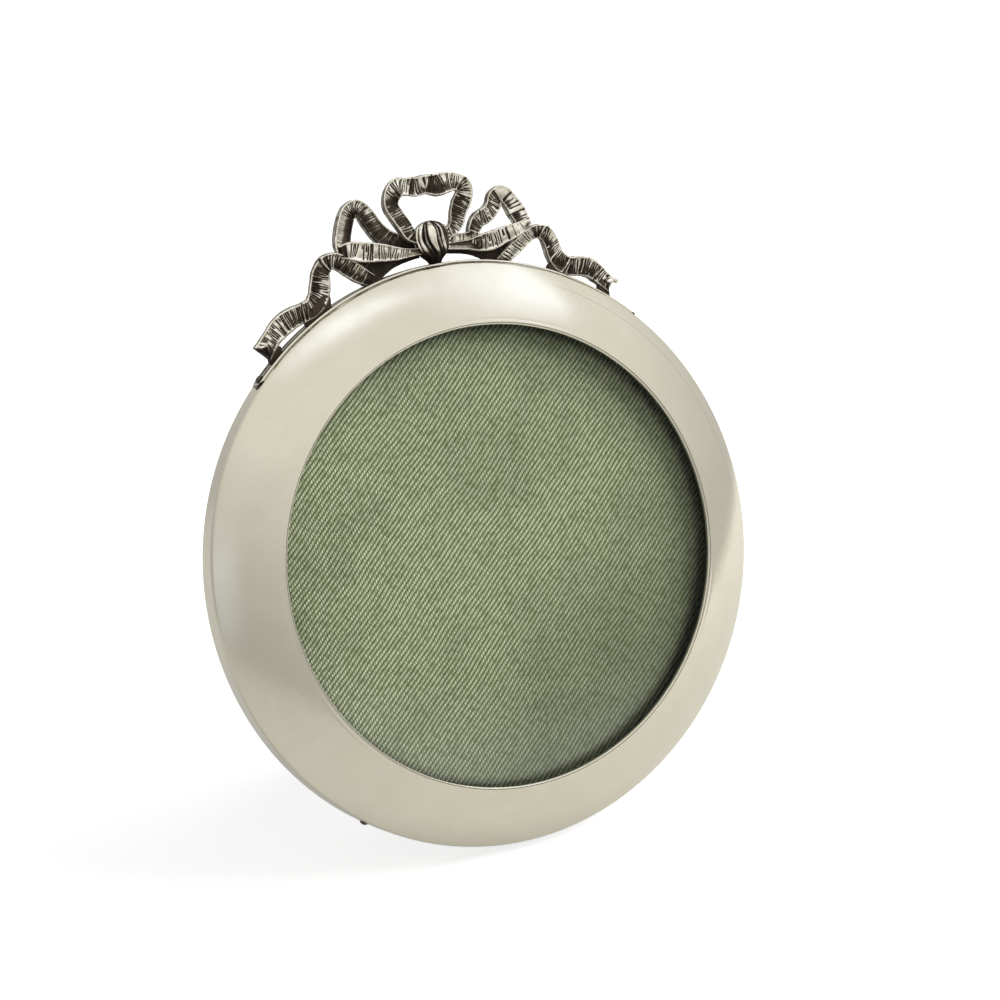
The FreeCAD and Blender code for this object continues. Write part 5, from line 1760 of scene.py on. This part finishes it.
@dataclass(frozen=True)
class Walnut:
    """Oiled walnut, painted black where the recess value is high: painted shade in the gap under
    the silver lip.
    """

    light: Colour = rgb(0.30, 0.155, 0.075)
    deep: Colour = rgb(0.115, 0.050, 0.023)
    pore: Colour = rgb(0.035, 0.016, 0.009)
    # black is the painted shade on the wooden ring's front and bore.
    black: Colour = rgb(0.012, 0.010, 0.008)

    def make(self, effects: Effects) -> Material:
        """Build the material."""
        made = Finish("oiled_walnut")
        g = made.graph
        grain = made.use(effects.grain, Place=made.place)
        mixed = g.math("MULTIPLY_ADD", grain["Ring"], 0.55,
                       g.math("MULTIPLY", grain["Figure"], 0.6))
        colour = g.mix(g.spread(mixed, 0.15, 0.85), self.light, self.deep)
        colour = g.mix(g.math("MULTIPLY", grain["Pore"], 0.8), colour, self.pore)
        # Painted shade: black where the recess value is high, on the wooden ring's front and bore.
        colour = g.mix(made.recess, colour, self.black)
        rough = g.spread(grain["Figure"], 0.3, 0.7, 0.42, 0.55)
        made.set(Base_Color=colour, Roughness=rough, Coat_Weight=0.12, Coat_Roughness=0.3,
                 Normal=g.bump(grain["Height"], 0.00006, 0.8))
        return made.material


@dataclass(frozen=True)
class Glass:
    """Clear window glass with faint dust and a faint green tint."""

    tint: Colour = rgb(0.985, 0.995, 0.985)
    shade: Colour = rgb(0.96, 0.97, 0.96)

    def make(self, effects: Effects) -> Material:
        """Build the material."""
        made = Finish("clear_glass")
        g = made.graph
        dust = g.noise(made.place, 300, 5, 0.7)
        made.set(Base_Color=self.tint, Transmission_Weight=1.0, IOR=1.45,
                 Roughness=g.spread(dust, 0.5, 0.8, 0.0, 0.03))
        shadow = g.node("ShaderNodeLightPath").outputs["Is Shadow Ray"]
        return made.end(g.both(made.shader.outputs[0], g.clear(self.shade), shadow))


@dataclass(frozen=True)
class CordedSilk:
    """Pale green ribbed silk: painted highlights in dashes on its twisted cords, painted shade in
    the gaps between them, under the lip and towards the lower right.
    """

    # crest is a painted highlight on the twisted strands, flank the silk's own colour, gap the
    # painted shade between the cords.
    crest: Colour = rgb(0.93, 0.96, 0.66)
    flank: Colour = rgb(0.326, 0.384, 0.192)
    gap: Colour = rgb(0.040, 0.050, 0.017)
    # Painted shade where the silk runs under the silver lip: its colour, and the radii over which
    # it comes in.
    rim_shade: Colour = rgb(0.006, 0.007, 0.003)
    rim_shade_reach: Pair = (46.3, 48.6)
    # Painted shade towards the lower right of the silk: its strength, its direction in degrees and
    # the span over which it comes in.
    fade: float = 0.50
    shade_turn: float = 152.0
    shade_span: Pair = (0.004, 0.05)

    def make(self, effects: Effects) -> Material:
        """Build the material."""
        made = Finish("corded_silk")
        g = made.graph
        cords = made.use(effects.cords, Place=made.place)
        # Painted highlights in dashes along the strands, and painted shade in the gaps between the
        # cords.
        body = g.mix(g.spread(cords["Strand"], 0.35, 1.0), self.flank, self.crest)
        body = g.mix(g.spread(cords["Fibre"], 0.35, 0.75, 0.0, 0.35), body, self.flank)
        body = g.mix(g.spread(cords["Tint"], 0.4, 0.7, 0.0, 0.2), body, self.gap)
        colour = g.mix(cords["Gap"], body, self.gap)
        height = g.math("ADD", g.math("MULTIPLY", cords["Strand"], 0.7),
                        g.math("MULTIPLY", cords["Fibre"], 0.4))
        # Painted shade under the lip: the silk goes nearly black towards the lip, most in the gaps
        # between the cords.
        flat = g.scaled(made.place, (1 / MM, 1 / MM, 0.0))
        under = g.spread(g.length(flat), *self.rim_shade_reach, 0.0, 0.93)
        # Painted shade: the silk darkens towards the lower right.
        turn = math.radians(self.shade_turn)
        toward_shade = g.along(made.place, (math.sin(turn), math.cos(turn), 0.0))
        colour = g.mix(g.spread(toward_shade, *self.shade_span, 0.0, self.fade), colour, self.gap)
        deepest = g.spread(cords["Gap"], 0.0, 0.8, 0.72, 1.0)
        colour = g.mix(g.math("MULTIPLY", under, deepest), colour, self.rim_shade)
        made.set(Base_Color=colour, Roughness=0.5, Sheen_Weight=0.2, Sheen_Roughness=0.4,
                 Sheen_Tint=self.crest, Specular_IOR_Level=0.45,
                 Normal=g.bump(height, 0.00014, 1.0))
        return made.material


@dataclass(frozen=True)
class Board:
    """Grey-brown pulp board with specks and fibres."""

    pale: Colour = rgb(0.42, 0.35, 0.25)
    deep: Colour = rgb(0.25, 0.20, 0.14)

    def make(self, effects: Effects) -> Material:
        """Build the material."""
        made = Finish("pulp_board")
        g = made.graph
        cloud = g.noise(made.place, 160, 4, 0.6)
        speck = g.noise(made.place, 3000, 3, 0.7)
        layer = g.noise(g.scaled(made.place, (150.0, 150.0, 9000.0)), 1.0, 2, 0.5)
        colour = g.mix(g.spread(g.math("ADD", cloud, g.math("MULTIPLY", layer, 0.4)), 0.4, 1.0),
                       self.pale, self.deep)
        colour = g.mix(g.spread(speck, 0.62, 0.72, 0.0, 0.6), colour, self.deep)
        made.set(Base_Color=colour, Roughness=0.9, Normal=g.bump(speck, 0.00003, 0.7))
        return made.material


@dataclass(frozen=True)
class Metal:
    """Old rubbed metal for the fittings.

    Attributes:
        name: name of the material.
        bright: rubbed colour.
        dull: tarnished colour.
        gloss: roughness where it is rubbed.
        dark: colour of the hollows.
    """

    name: str
    bright: Colour
    dull: Colour
    gloss: float
    dark: Colour = rgb(0.03, 0.022, 0.012)

    def make(self, effects: Effects) -> Material:
        """Build the material."""
        made = Finish(self.name)
        g = made.graph
        wear = made.use(effects.wear, Place=made.place, Fineness=2.5)
        patina = made.use(effects.patina, Place=made.place, Recess=made.recess, Amount=0.8)
        colour = g.mix(g.spread(wear["Smear"], 0.35, 0.65), self.bright, self.dull)
        colour = g.mix(patina["Mask"], colour, self.dark)
        rough = g.spread(wear["Smear"], 0.3, 0.7, self.gloss, self.gloss + 0.2)
        rough = g.math("ADD", rough, g.math("MULTIPLY", wear["Scratch"], 0.15))
        normal = g.bump(wear["Grain"], 0.00001, 0.8)
        normal = g.bump(wear["Scratch"], -0.00001, 0.8, normal)
        made.set(Base_Color=colour, Metallic=1.0, Roughness=rough, Normal=normal)
        return made.material


FINISHES = {
    Slot.SILVER: SpunSilver(),
    Slot.CAST_SILVER: CastSilver(),
    Slot.WALNUT: Walnut(),
    Slot.GLASS: Glass(),
    Slot.SILK: CordedSilk(),
    Slot.CARD: Board(),
    Slot.BRASS: Metal("aged_brass", rgb(0.72, 0.52, 0.24), rgb(0.42, 0.29, 0.12), 0.24),
    Slot.STEEL: Metal("old_steel", rgb(0.52, 0.51, 0.49), rgb(0.26, 0.25, 0.24), 0.3),
}
SLOTS = {
    Slot.SILVER: ("silver_bezel", "rim_pins", "crest_band"),
    Slot.CAST_SILVER: ("bow_knot", "ribbon_loop_top", "ribbon_loop_left", "ribbon_loop_right",
                       "ribbon_web_left", "ribbon_web_right", "ribbon_tail_left",
                       "ribbon_tail_right"),
    Slot.WALNUT: ("back_ring", "back_door", "easel_strut"),
    Slot.GLASS: ("glass",),
    Slot.SILK: ("silk_cover",),
    Slot.CARD: ("mount_card", "packing_card"),
    Slot.BRASS: ("turn_button_top", "turn_button_right", "turn_button_left",
                 "turn_button_screws", "strut_hinge_plate", "strut_hinge_leaf",
                 "hinge_screws_door", "hinge_screws_strut"),
    Slot.STEEL: ("strut_hinge_pin",),
}


# Studio


def towards(azimuth: float, elevation: float) -> Vector:
    """Direction by degrees to the right of straight in front, and over the floor."""
    turn, rise = math.radians(azimuth), math.radians(elevation)
    return Vector((math.sin(turn) * math.cos(rise), -math.cos(turn) * math.cos(rise),
                   math.sin(rise)))


def rectangle(name: str, half: Pair, place: Matrix, open_sheet: bool) -> Thing:
    """Make a flat sheet of half a width and half a height."""
    x, y = half
    surface = Surface()
    surface.grid(np.array([[(-x, -y, 0), (x, -y, 0)], [(-x, y, 0), (x, y, 0)]], float))
    return surface.build(name, place, open_sheet=open_sheet)


@dataclass(frozen=True)
class Card:
    """Reflector that the metal mirrors and the camera doesn't see.

    Attributes:
        name: name of the reflector and its material.
        azimuth: degrees from straight in front, to the right.
        elevation: degrees over the floor.
        reach: distance from the frame.
        size: width and height.
        tone: brightness, 1 for white.
        soft: share of its half size over which its edge fades, 0 for a hard edge.
    """

    name: str
    azimuth: float
    elevation: float
    reach: float
    size: Pair
    tone: float
    soft: float = 0.0


@dataclass(frozen=True)
class Studio:
    """Pale floor, soft light and the camera of the photograph."""

    azimuth: float = 26.8139
    elevation: float = 25.2457
    distance: float = 558.0
    lens: float = 94.08
    film: float = 36.0
    aim: Pair = (4.2935, 11.4725)
    floor: Colour = rgb(0.50, 0.50, 0.49)
    glow: float = 0.78
    mirrored_glow: float = 0.36
    key: tuple[float, float, float] = (78.0, 38.0, 620.0)
    key_size: Pair = (560.0, 420.0)
    key_power: float = 6.6
    wall_radius: float = 360.0
    wall_high: float = 400.0
    wall_steps: int = 96
    table_half: float = 2500.0
    middle: float = 60.0
    cool: Colour = rgb(0.9, 1.0, 1.45)
    dark: float = 0.06
    sky_reach: Pair = (-0.3, 1.0)
    sky: Pair = (0.10, 0.5)
    cards: tuple[Card, ...] = (
        Card("softbox_cloth", 95.0, 46.0, 560.0, (820.0, 800.0), 0.62, 0.94),
        Card("ceiling_cloth", -90.0, 84.0, 520.0, (190.0, 520.0), 0.6, 0.9),
        Card("left_cloth", -72.0, 9.0, 320.0, (230.0, 260.0), 0.2, 0.9),
        Card("dark_card", 26.0, 17.0, 330.0, (250.0, 200.0), 0.0, 0.35),
    )

    def camera(self, disc: Disc) -> None:
        """Set the camera where the photograph was taken from."""
        back = towards(-self.azimuth, self.elevation)
        turn = math.radians(self.azimuth)
        right = Vector((math.cos(turn), -math.sin(turn), 0.0))
        up = back.cross(right)
        target = disc.place.translation + (right * self.aim[0] + up * self.aim[1]) * MM
        place = Matrix((right, up, back)).transposed().to_4x4()
        place.translation = target + back * self.distance * MM
        data = bpy.data.cameras.new("photo_camera")
        data.lens, data.sensor_width = self.lens, self.film
        data.clip_start, data.clip_end = 0.01, 20.0
        camera = bpy.data.objects.new("photo_camera", data)
        camera.matrix_world = place
        bpy.context.scene.collection.objects.link(camera)
        bpy.context.scene.camera = camera

    def world(self) -> None:
        """White behind the object, and for its light a sky that is brighter on the right."""
        world = bpy.data.worlds.new("studio_sky")
        bpy.context.scene.world = world
        world.use_nodes = True
        graph = Graph(world.node_tree)
        back = world.node_tree.nodes["Background"]
        place = graph.node("ShaderNodeTexCoord").outputs["Generated"]
        sky = graph.spread(graph.along(place, towards(*self.key[:2])), *self.sky_reach, *self.sky)
        graph.fill(back, Color=WHITE, Strength=graph.blend(graph.seen(), sky, 1.0))

    def ground(self) -> None:
        """White table that keeps the object's shadow."""
        table = rectangle("white_table", (self.table_half, self.table_half), Matrix.Identity(4),
                          False)
        made = Finish("white_paper")
        g = made.graph
        made.set(Base_Color=self.floor, Roughness=0.9, Specular_IOR_Level=0.1)
        mirrored = g.node("ShaderNodeLightPath").outputs["Is Glossy Ray"]
        level = g.blend(mirrored, self.glow, self.mirrored_glow)
        glow = g.light(WHITE, g.math("MULTIPLY", g.seen(), level))
        table.data.materials.append(made.end(g.both(made.shader.outputs[0], glow)))

    def hang(self, thing: Thing, material: Material) -> None:
        """Dress a reflector, which only metal and glass see."""
        thing.data.materials.append(material)
        thing.visible_camera = thing.visible_diffuse = thing.visible_shadow = False

    def wall(self) -> None:
        """Grey cloth round the table for the metal to mirror."""
        surface = Surface()
        turns = np.linspace(0, 2 * math.pi, self.wall_steps, endpoint=False)
        rows = [np.stack([self.wall_radius * np.sin(turns), -self.wall_radius * np.cos(turns),
                          np.full(self.wall_steps, height)], -1)
                for height in (0.0, self.wall_high)]
        surface.grid(np.stack(rows), wrap_columns=True)
        cloth = surface.build("grey_cloth", Matrix.Identity(4), open_sheet=True)
        made = Finish("grey_cloth")
        g = made.graph
        x, _, z = g.parts(made.place)
        side = g.spread(x, -0.3, 0.36, 0.92, 1.14)
        tone = g.spread(z, 0.0, self.wall_high * MM, 0.60, 0.98)
        level = g.math("MINIMUM", g.math("MULTIPLY", tone, side), 1.0)
        self.hang(cloth, made.end(g.light(WHITE, level)))

    def card(self, card: Card) -> None:
        """Hang one reflector, facing the frame."""
        way = towards(card.azimuth, card.elevation)
        x, y = card.size[0] / 2, card.size[1] / 2
        place = (-way).to_track_quat("Z", "Y").to_matrix().to_4x4()
        place.translation = Vector((0, 0, self.middle * MM)) + way * card.reach * MM
        sheet = rectangle(card.name, (x, y), place, True)
        made = Finish(card.name)
        g = made.graph
        share = g.scaled(made.place, (1 / (x * MM), 1 / (y * MM), 0.0))
        fade = g.spread(g.length(share), 1 - card.soft, 1.0)
        if card.tone > 0:
            level = g.math("MULTIPLY", g.math("SUBTRACT", 1.0, fade), card.tone)
            surface = g.both(g.light(self.cool, level), g.clear())
        else:
            surface = g.both(g.light(WHITE, self.dark), g.clear(), fade)
        self.hang(sheet, made.end(surface))

    def lamp(self, name: str) -> None:
        """Add the soft lamp on the right, aimed at the frame."""
        azimuth, elevation, reach = self.key
        way = towards(azimuth, elevation)
        data = bpy.data.lights.new(name, "AREA")
        data.shape = "RECTANGLE"
        data.size, data.size_y = (side * MM for side in self.key_size)
        data.energy = self.key_power * math.pi * data.size * data.size_y
        lamp = bpy.data.objects.new(name, data)
        lamp.location = Vector((0, 0, self.middle * MM)) + way * reach * MM
        lamp.rotation_euler = (-way).to_track_quat("-Z", "Y").to_euler()
        lamp.visible_glossy = False
        bpy.context.scene.collection.objects.link(lamp)

    def build(self, disc: Disc) -> None:
        """Set up the studio."""
        bpy.context.scene.view_settings.view_transform = "Standard"
        self.world()
        self.ground()
        self.wall()
        for card in self.cards:
            self.card(card)
        self.lamp("softbox_right")
        self.camera(disc)


def main() -> None:
    """Build, dress and light the frame."""
    logging.basicConfig(level=logging.INFO, format="%(message)s")
    disc = Disc.from_frame()
    ring = Ring()
    made: dict[str, Thing] = {}
    for node, piece in (("silver_bezel", ring.build(disc)), ("rim_pins", RimPins().build(disc)),
                        ("crest_band", Strap().build(disc)), ("bow_knot", Knot().build(disc))):
        seat(node, piece, Body.FRAME)
        made[node] = piece
    made.update(Crest().build(disc))
    made.update(Stack().build(disc, ring))
    made.update(Buttons().build(disc))
    made.update(Hinge().build(disc))
    effects = Effects()
    for slot, nodes in SLOTS.items():
        material = FINISHES[slot].make(effects)
        for node in nodes:
            made[node].data.materials.append(material)
            LOG.info("%s wears %s", node, material.name)
    Studio().build(disc)
    bpy.context.view_layer.update()


if __name__ == "__main__":
    main()
